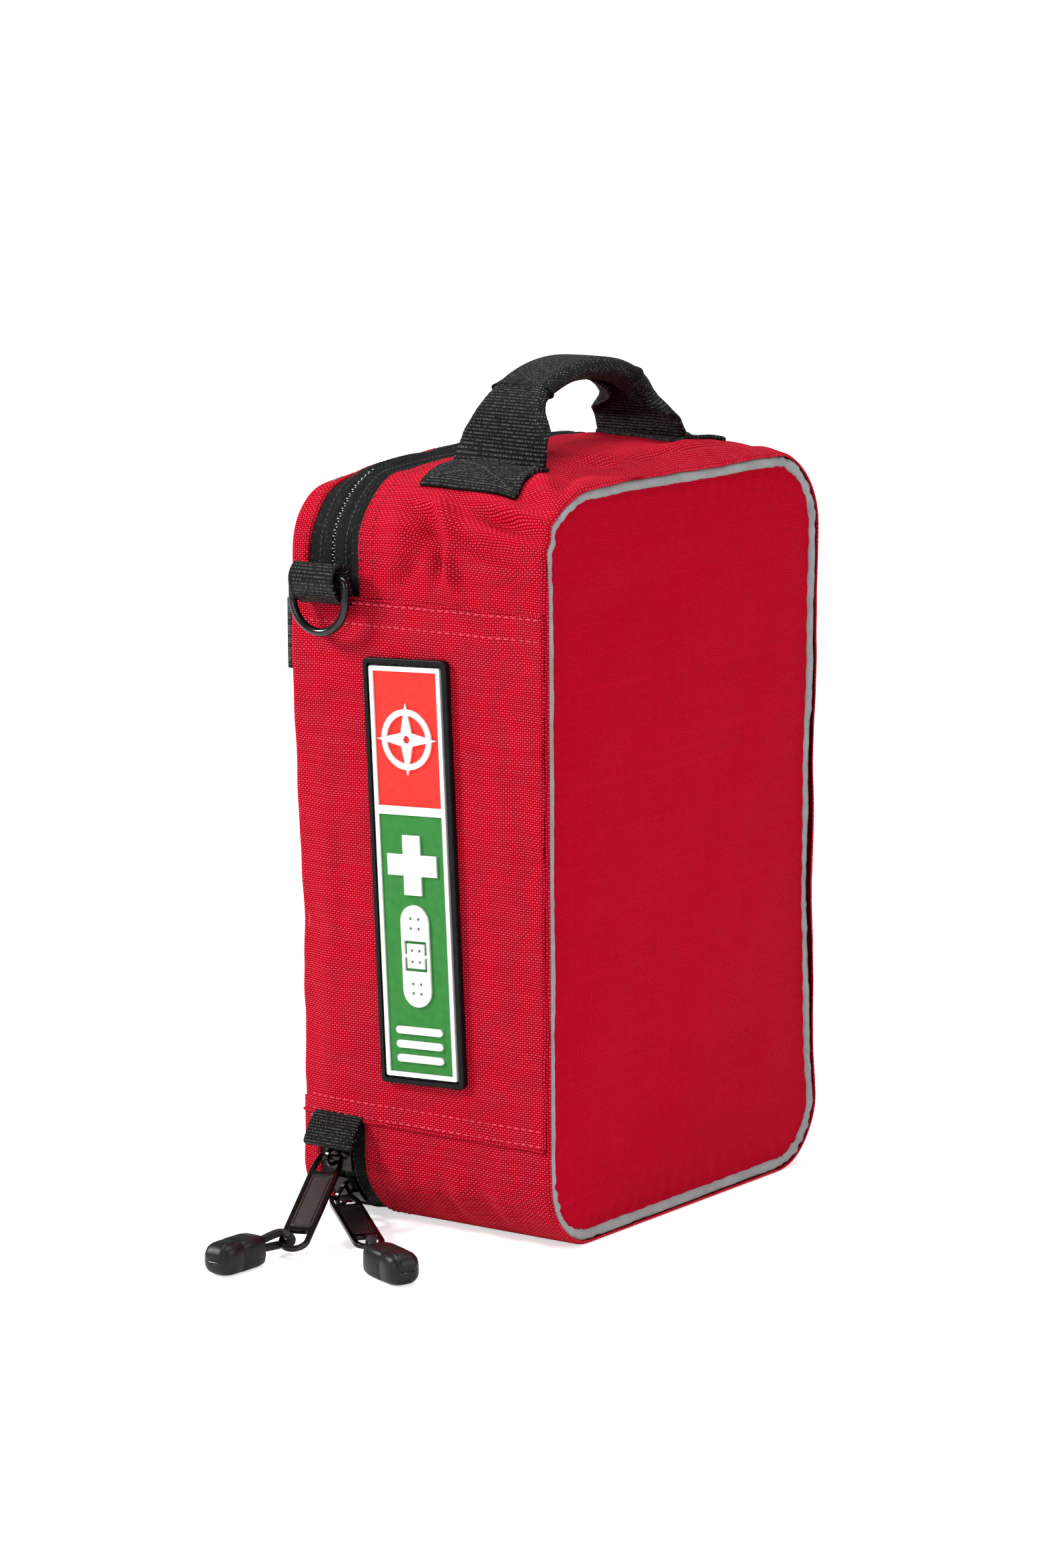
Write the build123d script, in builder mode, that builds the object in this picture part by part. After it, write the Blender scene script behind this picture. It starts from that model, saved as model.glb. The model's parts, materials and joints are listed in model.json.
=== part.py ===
"""First aid kit: a soft zipped case with a carry handle, a rubber side patch,
belt webbing on the back, a double zip, and its supplies inside.

Frame: millimetres, +Z up, origin at the middle of the underside. The plain
front panel faces -Y, the zipped back panel (the lid) faces +Y, and the side
with the patch, the D-ring and the zip ends faces -X.
"""
from build123d import *
import math
import os

os.makedirs("parts", exist_ok=True)

# ------------------------------------------------------------ main sizes
WIDTH = 172.0            # body, along X
HEIGHT = 265.0           # body, along Z
CORNER_R = 26.0          # rounding of the outline seen from the front
Y_FRONT = -54.5
Y_BACK = 54.5
FABRIC = 0.8             # outer fabric with its coating

# zip; insets are measured inward from the outside of the body
Y_GUSSET_END = 25.5      # edge of the wide gusset beside the tape
Y_STRIP = 46.8           # edge of the narrow back strip beside the tape
Y_ZIP = 36.3             # zip centre line
ZIP_GAP = 0.6            # half gap between the two halves
Y_TAPE_FRONT, Y_TAPE_BACK = 20.5, 51.5
TAPE_OUT, TAPE_IN = 0.9, 1.45
COIL_OUT, COIL_IN = 1.55, 3.2
COIL_W = 1.5
LID_EDGE_X = -59.8       # the lid's share of the zip starts here
PARK_EDGE_X = -60.0      # the closed stretch of zip ends here

# side panel, over the zip ends
PANEL_Z0, PANEL_Z1 = 38.0, 224.0
PANEL_OVERLAP = 6.0      # how far it laps the zip at each end


# ------------------------------------------------------------ helpers
def xz(y):
    """Plane seen from the front, at depth y; extrusions go towards -Y."""
    return Plane.XZ.offset(-y)


def outline(inset, mode=Mode.ADD):
    """The body's rounded outline, inset from the outside."""
    with Locations((0, HEIGHT / 2)):
        RectangleRounded(
            WIDTH - 2 * inset, HEIGHT - 2 * inset, CORNER_R - inset, mode=mode
        )


def slab(x0, x1, y0, y1, z0, z1, mode=Mode.ADD):
    """A box given by its limits."""
    with Locations(((x0 + x1) / 2, (y0 + y1) / 2, (z0 + z1) / 2)):
        Box(abs(x1 - x0), abs(y1 - y0), abs(z1 - z0), mode=mode)


def drop_side():
    """Take away the stretch hidden under the side panel."""
    z0, z1 = PANEL_Z0 + PANEL_OVERLAP, PANEL_Z1 - PANEL_OVERLAP
    slab(-100, -80, -60, 60, z0, z1, Mode.SUBTRACT)


def drop_parked():
    """Take away the -X stretch that does not open with the lid."""
    slab(-100, LID_EDGE_X, -60, 60, -5, 270, Mode.SUBTRACT)


def keep_ends():
    """Keep only the two corner stretches that stay closed."""
    slab(-100, PARK_EDGE_X, -60, 60, -5, 270, Mode.INTERSECT)
    drop_side()


def save(part, name):
    part.label = name
    export_step(part, f"parts/{name}.step")


def make_sheet(name, y, inset, thickness):
    """A flat layer in the body's outline, its back face at depth y."""
    with BuildPart() as sheet:
        with BuildSketch(xz(y)):
            outline(inset)
        extrude(amount=thickness)
    save(sheet.part, name)


def make_band(name, y0, y1, outer, inner, trim=None):
    """A band of the wall between two insets, from depth y0 back to y1."""
    with BuildPart() as band:
        with BuildSketch(xz(y1)):
            outline(outer)
            outline(inner, Mode.SUBTRACT)
        extrude(amount=y1 - y0)
        if trim:
            trim()
    save(band.part, name)


# ------------------------------------------------------------ flat layers
# name, depth of the back face, inset, thickness
SHEETS = (
    ("front_foam", -49.6, 6.0, 3.4),
    ("front_lining", -48.9, 1.0, 0.6),
    ("back_panel", 54.4, 0.95, 0.8),
    ("lid_foam", 53.5, 2.4, 3.1),
    ("lid_lining", 50.3, 2.4, 0.5),
)
for sheet_row in SHEETS:
    make_sheet(*sheet_row)

FRONT_PANEL_Y = -53.1    # its back face
FRONT_PANEL_T = 1.1
with BuildPart() as front_panel:
    with BuildSketch(xz(FRONT_PANEL_Y)):
        outline(5.6)
    extrude(amount=FRONT_PANEL_T)
    fillet(front_panel.faces().sort_by(Axis.Y)[0].edges(), 0.9)
save(front_panel.part, "front_panel")

# ------------------------------------------------------------ piping
PIPE_R = 2.0
PIPE_INSET = 3.5
PIPE_Y = -52.4
with BuildPart() as front_piping:
    with BuildLine(xz(PIPE_Y)) as pipe_line:
        side = WIDTH / 2 - PIPE_INSET
        bottom, top = PIPE_INSET, HEIGHT - PIPE_INSET
        bend = CORNER_R - PIPE_INSET
        Line((0, bottom), (side - bend, bottom))
        RadiusArc((side - bend, bottom), (side, bottom + bend), -bend)
        Line((side, bottom + bend), (side, top - bend))
        RadiusArc((side, top - bend), (side - bend, top), -bend)
        Line((side - bend, top), (-side + bend, top))
        RadiusArc((-side + bend, top), (-side, top - bend), -bend)
        Line((-side, top - bend), (-side, bottom + bend))
        RadiusArc((-side, bottom + bend), (-side + bend, bottom), -bend)
        Line((-side + bend, bottom), (0, bottom))
    with BuildSketch(Plane(origin=(0, PIPE_Y, bottom), x_dir=(0, 1, 0), z_dir=(1, 0, 0))):
        Circle(PIPE_R)
    sweep(path=pipe_line.line)
save(front_piping.part, "front_piping")

# ------------------------------------------------------------ gusset and zip
ZIP_Y0, ZIP_Y1 = Y_ZIP - ZIP_GAP, Y_ZIP + ZIP_GAP   # facing edges of the halves

# name, front depth, back depth, outer inset, inner inset, trim
BODY_BANDS = (
    ("side_gusset", Y_FRONT, Y_GUSSET_END, 0, FABRIC, None),
    ("gusset_foam", -48.6, 19.0, 0.9, 3.2, None),
    ("gusset_lining", -48.7, 24.0, 3.3, 3.7, None),
    ("zip_tape_front", Y_TAPE_FRONT, ZIP_Y0, TAPE_OUT, TAPE_IN, drop_side),
    ("zip_coil_front", ZIP_Y0 - COIL_W, ZIP_Y0, COIL_OUT, COIL_IN, drop_side),
)
for band_row in BODY_BANDS:
    make_band(*band_row)

# behind the zip each band is split into the lid's share and the closed ends
# name of the lid's share, name of the ends, depths and insets as above
SPLIT_BANDS = (
    ("zip_tape_back", "zip_tape_ends", ZIP_Y1, Y_TAPE_BACK, TAPE_OUT, TAPE_IN),
    ("zip_coil_back", "zip_coil_ends", ZIP_Y1, ZIP_Y1 + COIL_W, COIL_OUT, COIL_IN),
    ("back_strip", "back_strip_ends", Y_STRIP, Y_BACK, 0, FABRIC),
)
for lid_name, ends_name, *band_size in SPLIT_BANDS:
    make_band(lid_name, *band_size, drop_parked)
    make_band(ends_name, *band_size, keep_ends)

# ------------------------------------------------------------ side panel
with BuildPart() as side_panel:
    slab(-87.0, -86.1, -53.6, 54.3, PANEL_Z0, PANEL_Z1)
    fillet(side_panel.edges().filter_by(Axis.X), 2.0)
save(side_panel.part, "side_panel")

with BuildPart() as side_stiffener:
    slab(-85.9, -84.7, 26.0, 52.5, PANEL_Z0 + 8.0, PANEL_Z1 - 8.0)
    fillet(side_stiffener.edges().filter_by(Axis.X), 3.0)
save(side_stiffener.part, "side_stiffener")

# ------------------------------------------------------------ belt webbing
# rows bar-tacked to the back at even steps
ROW_COUNT, ROW_Z0, ROW_PITCH = 4, 56.0, 51.0
ROW_H = 25.0
ROW_HALF_W = 84.0
TACK_COUNT, TACK_PITCH = 5, 40.5
TACK_HALF_W = 2.5
with BuildPart() as belt_rows:
    for row in range(ROW_COUNT):
        row_z = ROW_Z0 + row * ROW_PITCH
        row_limits = (row_z - ROW_H / 2, row_z + ROW_H / 2)
        slab(-ROW_HALF_W, ROW_HALF_W, 55.55, 56.9, *row_limits)
        for tack in range(TACK_COUNT):
            tack_x = (tack - (TACK_COUNT - 1) / 2) * TACK_PITCH
            slab(tack_x - TACK_HALF_W, tack_x + TACK_HALF_W, 54.45, 55.6, *row_limits)
save(belt_rows.part, "belt_rows")

# ------------------------------------------------------------ lid pocket
# net pocket on the inside of the lid, and the leaflet it holds
POCKET_X0, POCKET_X1 = -68.0, 74.0
POCKET_Y0, POCKET_Y1 = 41.0, 49.6
POCKET_Z0, POCKET_Z1 = 14.0, 150.0
NET_T = 0.6
with BuildPart() as lid_pocket:
    slab(POCKET_X0, POCKET_X1, POCKET_Y0, POCKET_Y1, POCKET_Z0, POCKET_Z1)
    slab(
        POCKET_X0 + NET_T, POCKET_X1 - NET_T, POCKET_Y0 + NET_T, POCKET_Y1 + 0.1,
        POCKET_Z0 + NET_T, POCKET_Z1 + 1.0, Mode.SUBTRACT,
    )
save(lid_pocket.part, "lid_pocket")

with BuildPart() as lid_pocket_binding:
    slab(-67.3, 73.3, 40.2, 42.4, 146.0, 158.0)
    # groove for the net's top edge
    slab(
        POCKET_X0 - 1.0, POCKET_X1 + 1.0, POCKET_Y0 - 0.05, POCKET_Y0 + NET_T + 0.05,
        POCKET_Z1 - 5.0, POCKET_Z1 + 0.1, Mode.SUBTRACT,
    )
    fillet(lid_pocket_binding.edges().filter_by(Axis.X).sort_by(Axis.Z)[-2:], 0.8)
save(lid_pocket_binding.part, "lid_pocket_binding")

with BuildPart() as leaflet:
    slab(-50.0, 52.0, 43.2, 46.4, 15.2, 163.0)
    fillet(leaflet.edges().filter_by(Axis.Z), 1.2)
save(leaflet.part, "leaflet")

# ------------------------------------------------------------ side patch
PATCH_W, PATCH_H = 36.0, 150.0
PATCH_TILT = math.radians(2.5)
PATCH_FLOOR = 1.2        # thickness of the base; its rim adds as much again
PATCH_RIM_W = 1.8
INLAY_BASE = 1.25        # underside of the frame and the coloured fields
FIELD_T = 0.7
FIELD_PLAY = 0.3         # a field is this much smaller than its window
SYMBOL_BASE, SYMBOL_T = 2.0, 0.8

WINDOW_W = 27.2
# centre height and height of the two windows, in the patch's own frame
TOP_WINDOW = ((23.5 + 70.6) / 2, 70.6 - 23.5)
LOW_WINDOW = ((-70.6 + 20.5) / 2, 20.5 + 70.6)

ROSE_Y, CROSS_Y, PLASTER_Y = 47.0, 3.0, -29.0
BAR_YS = (-55.5, -60.5, -65.5)


def patch_plane(height):
    """Plane above the side panel, local x to the front, local y up, tilted."""
    return Plane(
        origin=(-87.05 - height, 0.1, 130.0),
        x_dir=(0, -math.cos(PATCH_TILT), math.sin(PATCH_TILT)),
        z_dir=(-1, 0, 0),
    )


with BuildPart() as patch_base:
    with BuildSketch(patch_plane(0)):
        RectangleRounded(PATCH_W, PATCH_H, 2.2)
    extrude(amount=PATCH_FLOOR)
    with BuildSketch(patch_plane(PATCH_FLOOR)):
        RectangleRounded(PATCH_W, PATCH_H, 2.2)
        RectangleRounded(
            PATCH_W - 2 * PATCH_RIM_W, PATCH_H - 2 * PATCH_RIM_W, 0.8, mode=Mode.SUBTRACT
        )
    extrude(amount=PATCH_FLOOR)
    fillet(patch_base.faces().sort_by(Axis.X)[0].outer_wire().edges(), 0.5)
save(patch_base.part, "patch_base")

with BuildPart() as patch_frame:
    with BuildSketch(patch_plane(INLAY_BASE)):
        RectangleRounded(30.4, 144.4, 0.6)
        for window_y, window_h in (TOP_WINDOW, LOW_WINDOW):
            with Locations((0, window_y)):
                Rectangle(WINDOW_W, window_h, mode=Mode.SUBTRACT)
    extrude(amount=1.25)
save(patch_frame.part, "patch_frame")

for field_name, (window_y, window_h) in (
    ("patch_red_field", TOP_WINDOW),
    ("patch_green_field", LOW_WINDOW),
):
    with BuildPart() as field:
        with BuildSketch(patch_plane(INLAY_BASE)):
            with Locations((0, window_y)):
                Rectangle(WINDOW_W - FIELD_PLAY, window_h - FIELD_PLAY)
        extrude(amount=FIELD_T)
    save(field.part, field_name)

# raised symbols: a compass rose, a cross, a sticking plaster and three bars
with BuildPart() as patch_symbols:
    with BuildSketch(patch_plane(SYMBOL_BASE)):
        with Locations((0, ROSE_Y)):
            Circle(10.6)
            Circle(8.5, mode=Mode.SUBTRACT)
            Polygon(
                (0, 12.6), (2.3, 2.3), (12.6, 0), (2.3, -2.3),
                (0, -12.6), (-2.3, -2.3), (-12.6, 0), (-2.3, 2.3),
                align=None,
            )
            Circle(1.4, mode=Mode.SUBTRACT)
        with Locations((0, CROSS_Y)):
            Rectangle(21.0, 7.4)
            Rectangle(7.4, 21.0)
        with Locations((0, PLASTER_Y)):
            SlotOverall(36.0, 12.0, rotation=90)
            Rectangle(9.6, 10.8, mode=Mode.SUBTRACT)
            Rectangle(7.4, 8.6)
            Rectangle(12.0, 1.0)
            with GridLocations(3.2, 4.0, 2, 2):
                Circle(0.6, mode=Mode.SUBTRACT)
        for offset in (-11.5, 11.5):
            with Locations((0, PLASTER_Y + offset)):
                with GridLocations(3.4, 3.4, 2, 2):
                    Circle(0.6, mode=Mode.SUBTRACT)
        with Locations(*[(0, y) for y in BAR_YS]):
            SlotOverall(20.0, 2.6)
    extrude(amount=SYMBOL_T)
save(patch_symbols.part, "patch_symbols")

# ------------------------------------------------------------ D-ring
RING_X, RING_Y, RING_Z = -93.0, 37.0, 231.0   # middle of the straight bar
RING_WIRE_R = 1.5
RING_HALF_W = 11.5       # also the radius of the bow
RING_BEND = 3.0
RING_BOW_Z = -7.5        # where the bow starts, below the bar
LOOP_HALF_W = 9.5

with BuildPart() as ring_loop:
    with BuildSketch(xz(RING_Y + LOOP_HALF_W)):
        with Locations((-91.25, 228.75)):
            SlotCenterToCenter(5.7, 6.4, rotation=127.9)
            SlotCenterToCenter(5.7, 4.1, rotation=127.9, mode=Mode.SUBTRACT)
    extrude(amount=2 * LOOP_HALF_W)
save(ring_loop.part, "ring_loop")

RING_ORIGIN = (RING_X, RING_Y, RING_Z)
with BuildPart() as d_ring:
    with BuildLine(Plane(origin=RING_ORIGIN, x_dir=(0, 1, 0), z_dir=(1, 0, 0))) as d_line:
        bar_end = RING_HALF_W - RING_BEND
        bow_low = RING_BOW_Z - RING_HALF_W
        Line((0, 0), (bar_end, 0))
        RadiusArc((bar_end, 0), (RING_HALF_W, -RING_BEND), RING_BEND)
        Line((RING_HALF_W, -RING_BEND), (RING_HALF_W, RING_BOW_Z))
        RadiusArc((RING_HALF_W, RING_BOW_Z), (0, bow_low), RING_HALF_W)
        RadiusArc((0, bow_low), (-RING_HALF_W, RING_BOW_Z), RING_HALF_W)
        Line((-RING_HALF_W, RING_BOW_Z), (-RING_HALF_W, -RING_BEND))
        RadiusArc((-RING_HALF_W, -RING_BEND), (-bar_end, 0), RING_BEND)
        Line((-bar_end, 0), (0, 0))
    with BuildSketch(Plane(origin=RING_ORIGIN, x_dir=(1, 0, 0), z_dir=(0, 1, 0))):
        Circle(RING_WIRE_R)
    sweep(path=d_line.line)
save(d_ring.part, "d_ring")

# ------------------------------------------------------------ grab tab
GRAB_Y0, GRAB_Y1 = 25.0, 46.0
with BuildPart() as grab_tab:
    with BuildSketch(xz(GRAB_Y1)):
        with Locations((-91.1, 33.3)):
            SlotCenterToCenter(6.6, 3.3, rotation=57.0)
            SlotCenterToCenter(6.6, 0.7, rotation=57.0, mode=Mode.SUBTRACT)
    extrude(amount=GRAB_Y1 - GRAB_Y0)
save(grab_tab.part, "grab_tab")

# ------------------------------------------------------------ handle
HANDLE_Y0, HANDLE_Y1 = -32.5, 7.0
HANDLE_AXIS_Y = (HANDLE_Y0 + HANDLE_Y1) / 2
HANDLE_AXIS_Z = 267.4
WEB_T = 1.6
FOOT_X0, FOOT_X1 = -52.0, 31.0        # where the narrowing starts
NARROW_X0, NARROW_X1 = -32.0, 12.0    # the narrow stretch
NARROW_Y0, NARROW_Y1 = -22.6, -2.9

# x, z along the middle of the webbing, seen from the front
ARCH = [
    (-52.4, 267.5), (-52.0, 277.0), (-47.5, 288.0), (-38.0, 297.0),
    (-24.0, 301.6), (-10.0, 303.0), (4.0, 301.6), (18.0, 296.0),
    (27.0, 287.0), (31.0, 277.0), (31.6, 267.5),
]
ARCH_STEPS = 28

with BuildPart() as handle_anchors:
    anchor_z = HEIGHT + 0.05
    for x0, x1 in ((-73.5, -53.5), (33.0, 57.5)):
        slab(x0, x1, HANDLE_Y0, HANDLE_Y1, anchor_z, anchor_z + WEB_T)
    fillet(handle_anchors.edges().filter_by(Axis.Z), 1.0)
save(handle_anchors.part, "handle_anchors")


def arch_band(y0, y1, half, mode=Mode.ADD):
    """The arch thickened by half each way, from depth y0 to y1."""
    with BuildLine() as centre:
        Spline(*ARCH)
    upper, lower = [], []
    for k in range(ARCH_STEPS + 1):
        point = centre.line @ (k / ARCH_STEPS)
        along = centre.line % (k / ARCH_STEPS)
        upper.append((point.X - along.Y * half, point.Y + along.X * half))
        lower.append((point.X + along.Y * half, point.Y - along.X * half))
    with BuildSketch(xz(y1)) as front_view:
        with BuildLine():
            Spline(*upper)
            Line(upper[-1], lower[-1])
            Spline(*lower[::-1])
            Line(lower[0], upper[0])
        make_face()
    extrude(front_view.sketch, amount=y1 - y0, mode=mode)


with BuildPart() as handle_strap:
    arch_band(HANDLE_Y0, HANDLE_Y1, WEB_T / 2)
    # the webbing narrows from full width at the feet to the folded grip
    with BuildSketch(Plane.XY.offset(260)):
        with BuildLine():
            Line((-60, HANDLE_Y0), (FOOT_X0, HANDLE_Y0))
            Spline(
                (FOOT_X0, HANDLE_Y0), (-46, -30.0), (-38, -24.0), (NARROW_X0, NARROW_Y0),
                tangents=((1, 0), (1, 0)),
            )
            Line((NARROW_X0, NARROW_Y0), (NARROW_X1, NARROW_Y0))
            Spline(
                (NARROW_X1, NARROW_Y0), (19, -24.5), (26, -30.5), (FOOT_X1, HANDLE_Y0),
                tangents=((1, 0), (1, 0)),
            )
            Line((FOOT_X1, HANDLE_Y0), (40, HANDLE_Y0))
            Line((40, HANDLE_Y0), (40, HANDLE_Y1))
            Line((40, HANDLE_Y1), (FOOT_X1, HANDLE_Y1))
            Spline(
                (FOOT_X1, HANDLE_Y1), (26, 5.0), (19, -1.0), (NARROW_X1, NARROW_Y1),
                tangents=((-1, 0), (-1, 0)),
            )
            Line((NARROW_X1, NARROW_Y1), (NARROW_X0, NARROW_Y1))
            Spline(
                (NARROW_X0, NARROW_Y1), (-38, -1.5), (-46, 4.5), (FOOT_X0, HANDLE_Y1),
                tangents=((-1, 0), (-1, 0)),
            )
            Line((FOOT_X0, HANDLE_Y1), (-60, HANDLE_Y1))
            Line((-60, HANDLE_Y1), (-60, HANDLE_Y0))
        make_face()
    extrude(amount=50, mode=Mode.INTERSECT)
    # taper the feet down to the axis, as room to swing
    with BuildSketch(Plane.YZ.offset(-60)):
        with Locations((HANDLE_AXIS_Y, HANDLE_AXIS_Z)):
            Polygon(
                (-1.2, 0), (-25, 14.5), (-25, -5), (25, -5), (25, 14.5), (1.2, 0), align=None
            )
    extrude(amount=120, mode=Mode.SUBTRACT)
save(handle_strap.part, "handle_strap")

# sleeve around the narrow stretch
with BuildPart() as handle_grip:
    arch_band(-24.0, -1.5, 2.3)
    arch_band(NARROW_Y0 - 0.1, NARROW_Y1 + 0.1, WEB_T / 2 + 0.1, Mode.SUBTRACT)
    slab(NARROW_X0 + 1.0, NARROW_X1 - 1.0, -60, 60, 280, 320, Mode.INTERSECT)
save(handle_grip.part, "handle_grip")

# ------------------------------------------------------------ sliders, pulls
ARC_X, ARC_Z = -WIDTH / 2 + CORNER_R, CORNER_R   # axis of the lower left corner
SLIDER_HALF = 12.7                # half length, degrees
PLATE_R0, PLATE_R1 = 25.55, 26.9  # outer plate of a slider
INNER_R0, INNER_R1 = 21.2, 22.6   # inner plate
AXIS_R = 30.7                     # pull axis, measured from the corner axis
BAIL_IN, BAIL_OUT, BAIL_T = 2.1, 3.2, 1.2
BAIL_BASE_T = 0.9                 # foot of the crown, against the plate
PULL_LEN, PULL_W, PULL_T = 53.4, 11.0, 1.6
BAR_LEN = 8.6
RECESS = 0.35                     # depth of the sunk plate
CORD_R = 1.1
CORD_END_L, CORD_END_W, CORD_END_H = 22.5, 12.0, 11.2
CORD_END_Z = 0.1
KNOT_DEPTH = 3.4                  # the strands stop this far into the cord end
UP = Vector(0, 0, 1)

# angle below the corner's left end in degrees, direction of the pull, entry
# point and direction of the cord end, whether the cord rounds the pull's side
SLIDERS = (
    (3.0, (-0.854, -0.320, -0.411), (-147.5, 25.5, 6.1), (-1.0, 0.02, 0.0), True),
    (35.0, (-0.652, -0.752, -0.096), (-133.5, -15.5, 6.1), (-0.39, -0.92, 0.0), False),
)


def on_arc(phi, radius):
    """Point x, z around the corner axis."""
    angle = math.radians(phi)
    return (ARC_X - radius * math.cos(angle), ARC_Z - radius * math.sin(angle))


def arc_plate(phi, half_deg, r0, r1, y0, y1):
    """A plate that follows the corner, between two radii."""
    with BuildSketch(xz(y1)) as plate:
        inner_start = on_arc(phi - half_deg, r0)
        inner_end = on_arc(phi + half_deg, r0)
        outer_end = on_arc(phi + half_deg, r1)
        outer_start = on_arc(phi - half_deg, r1)
        with BuildLine():
            ThreePointArc(inner_start, on_arc(phi, r0), inner_end)
            Line(inner_end, outer_end)
            ThreePointArc(outer_end, on_arc(phi, r1), outer_start)
            Line(outer_start, inner_start)
        make_face()
    extrude(plate.sketch, amount=y1 - y0)


def make_slider(number, phi):
    """Two plates, outside and inside the zip, joined by a neck."""
    with BuildPart() as slider:
        arc_plate(phi, SLIDER_HALF, PLATE_R0, PLATE_R1, Y_ZIP - 5.5, Y_ZIP + 5.5)
        fillet(slider.faces().group_by(Axis.Y)[0].edges().sort_by(Axis.X)[0:1], 0.3)
        arc_plate(phi, 11.0, INNER_R0, INNER_R1, Y_ZIP - 4.5, Y_ZIP + 4.5)
        arc_plate(phi, 4.5, INNER_R1 - 0.1, PLATE_R0 + 0.1, Y_ZIP - 0.5, Y_ZIP + 0.5)
    save(slider.part, f"slider_{number}")


def make_crown(number, phi):
    """An arch standing on the slider, which the pull's bar passes through."""
    axis_x, axis_z = on_arc(phi, AXIS_R)
    angle = math.radians(phi)
    leg = AXIS_R - PLATE_R1 - 0.05
    opening = leg - BAIL_BASE_T
    with BuildPart() as crown:
        with BuildSketch(
            Plane(
                origin=(axis_x, Y_ZIP + BAIL_T / 2, axis_z),
                x_dir=(-math.cos(angle), 0, -math.sin(angle)),
                z_dir=(0, -1, 0),
            )
        ):
            Circle(BAIL_OUT)
            with Locations((-leg / 2, 0)):
                Rectangle(leg, 2 * BAIL_OUT)
            Circle(BAIL_IN, mode=Mode.SUBTRACT)
            with Locations((-opening / 2, 0)):
                Rectangle(opening, 2 * BAIL_IN, mode=Mode.SUBTRACT)
        extrude(amount=BAIL_T)
    save(crown.part, f"slider_crown_{number}")


def make_pull(number, pivot, along, across):
    """A flat tab with an eye at each end and a bar on the pivot."""
    flat = Plane(origin=pivot, x_dir=along, z_dir=along.cross(across))
    half_w = PULL_W / 2
    shoulder = PULL_LEN - half_w
    with BuildPart() as pull:
        with BuildSketch(flat.offset(-PULL_T / 2)):
            with BuildLine():
                Polyline((0, -4.3), (6, -half_w), (shoulder, -half_w))
                RadiusArc((shoulder, -half_w), (PULL_LEN, 0), -half_w)
                RadiusArc((PULL_LEN, 0), (shoulder, half_w), -half_w)
                Polyline((shoulder, half_w), (6, half_w), (0, 4.3), (0, -4.3))
            make_face()
            # eye at the slider
            with BuildLine():
                Polyline((-0.1, -3.4), (0.9, -3.4), (5.4, -3.6))
                RadiusArc((5.4, -3.6), (5.4, 3.6), -5.2)
                Polyline((5.4, 3.6), (0.9, 3.4), (-0.1, 3.4), (-0.1, -3.4))
            make_face(mode=Mode.SUBTRACT)
            # eye for the cord
            with BuildLine():
                Polyline((44.2, 3.5), (44.2, -3.5), (47.6, -3.5))
                RadiusArc((47.6, -3.5), (51.1, 0), -3.5)
                RadiusArc((51.1, 0), (47.6, 3.5), -3.5)
                Line((47.6, 3.5), (44.2, 3.5))
            make_face(mode=Mode.SUBTRACT)
        extrude(amount=PULL_T)
        # the bar through the crown
        with BuildSketch(Plane(origin=pivot - across * (BAR_LEN / 2), x_dir=along, z_dir=across)):
            Circle(PULL_T / 2)
        extrude(amount=BAR_LEN)
        # sunk plain plate on both faces
        for face_side in (1, -1):
            with BuildSketch(flat.offset(face_side * (PULL_T / 2 - RECESS))):
                with Locations((25.6, 0)):
                    RectangleRounded(29.0, 7.4, 1.0)
            extrude(amount=face_side * 1.0, mode=Mode.SUBTRACT)
    save(pull.part, f"pull_{number}")


def make_cord(number, pivot, along, across, entry, direction, round_side):
    """A loop through the pull's far eye, both strands into the cord end."""
    knot = entry + direction * KNOT_DEPTH
    normal = across.cross(along)      # the pull's upper face
    if round_side:
        outward = across
        inner = pivot + along * 47.4 + across * 1.9
    else:
        outward = along
        inner = pivot + along * 49.6
    rim = inner + outward * 2.6
    rise = PULL_T / 2 + CORD_R + 0.4
    path = [
        knot + UP * 1.3,
        entry + UP * 1.35 - direction * 1.0,
        rim + normal * rise + outward * 1.2,
        inner + normal * 1.2,
        inner - normal * 1.2,
        rim - normal * rise + outward * 1.2,
        entry - UP * 1.35 - direction * 1.0,
        knot - UP * 1.3,
    ]
    with BuildPart() as cord:
        with BuildLine() as cord_line:
            Spline(*path, tangents=(direction * -1, direction))
        with BuildSketch(Plane(origin=path[0], z_dir=direction * -1)):
            Circle(CORD_R)
        sweep(path=cord_line.line)
    save(cord.part, f"cord_{number}")


def make_cord_end(number, entry, direction):
    """A moulded cord end with a flared mouth."""
    knot = entry + direction * KNOT_DEPTH
    base = entry + UP * (CORD_END_Z - entry.Z)
    with BuildPart() as cord_end:
        with BuildSketch(Plane(origin=base, x_dir=direction, z_dir=UP)):
            with Locations((CORD_END_L / 2, 0)):
                RectangleRounded(CORD_END_L, CORD_END_W, 2.6)
        extrude(amount=CORD_END_H)
        fillet(cord_end.faces().sort_by(Axis.Z)[-1].edges(), 2.2)
        fillet(cord_end.faces().sort_by(Axis.Z)[0].edges(), 1.2)
        # level slot in the far end
        slot = entry + direction * 19.2 + UP * (3.4 - entry.Z)
        with BuildSketch(Plane(origin=slot, x_dir=direction, z_dir=UP)):
            with Locations((3.0, 0)):
                Rectangle(6.0, 7.2)
        extrude(amount=1.2, mode=Mode.SUBTRACT)
        # mouth and turning room
        with BuildSketch(Plane(origin=knot - UP * 2.75, x_dir=direction * -1, z_dir=UP)):
            Circle(1.6)
            Polygon((0, -1.45), (0, 1.45), (6.5, 6.3), (6.5, -6.3), align=None)
            with Locations((2.5, 0)):
                Rectangle(5.0, 2.9)
        extrude(amount=5.5, mode=Mode.SUBTRACT)
    save(cord_end.part, f"cord_end_{number}")


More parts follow.
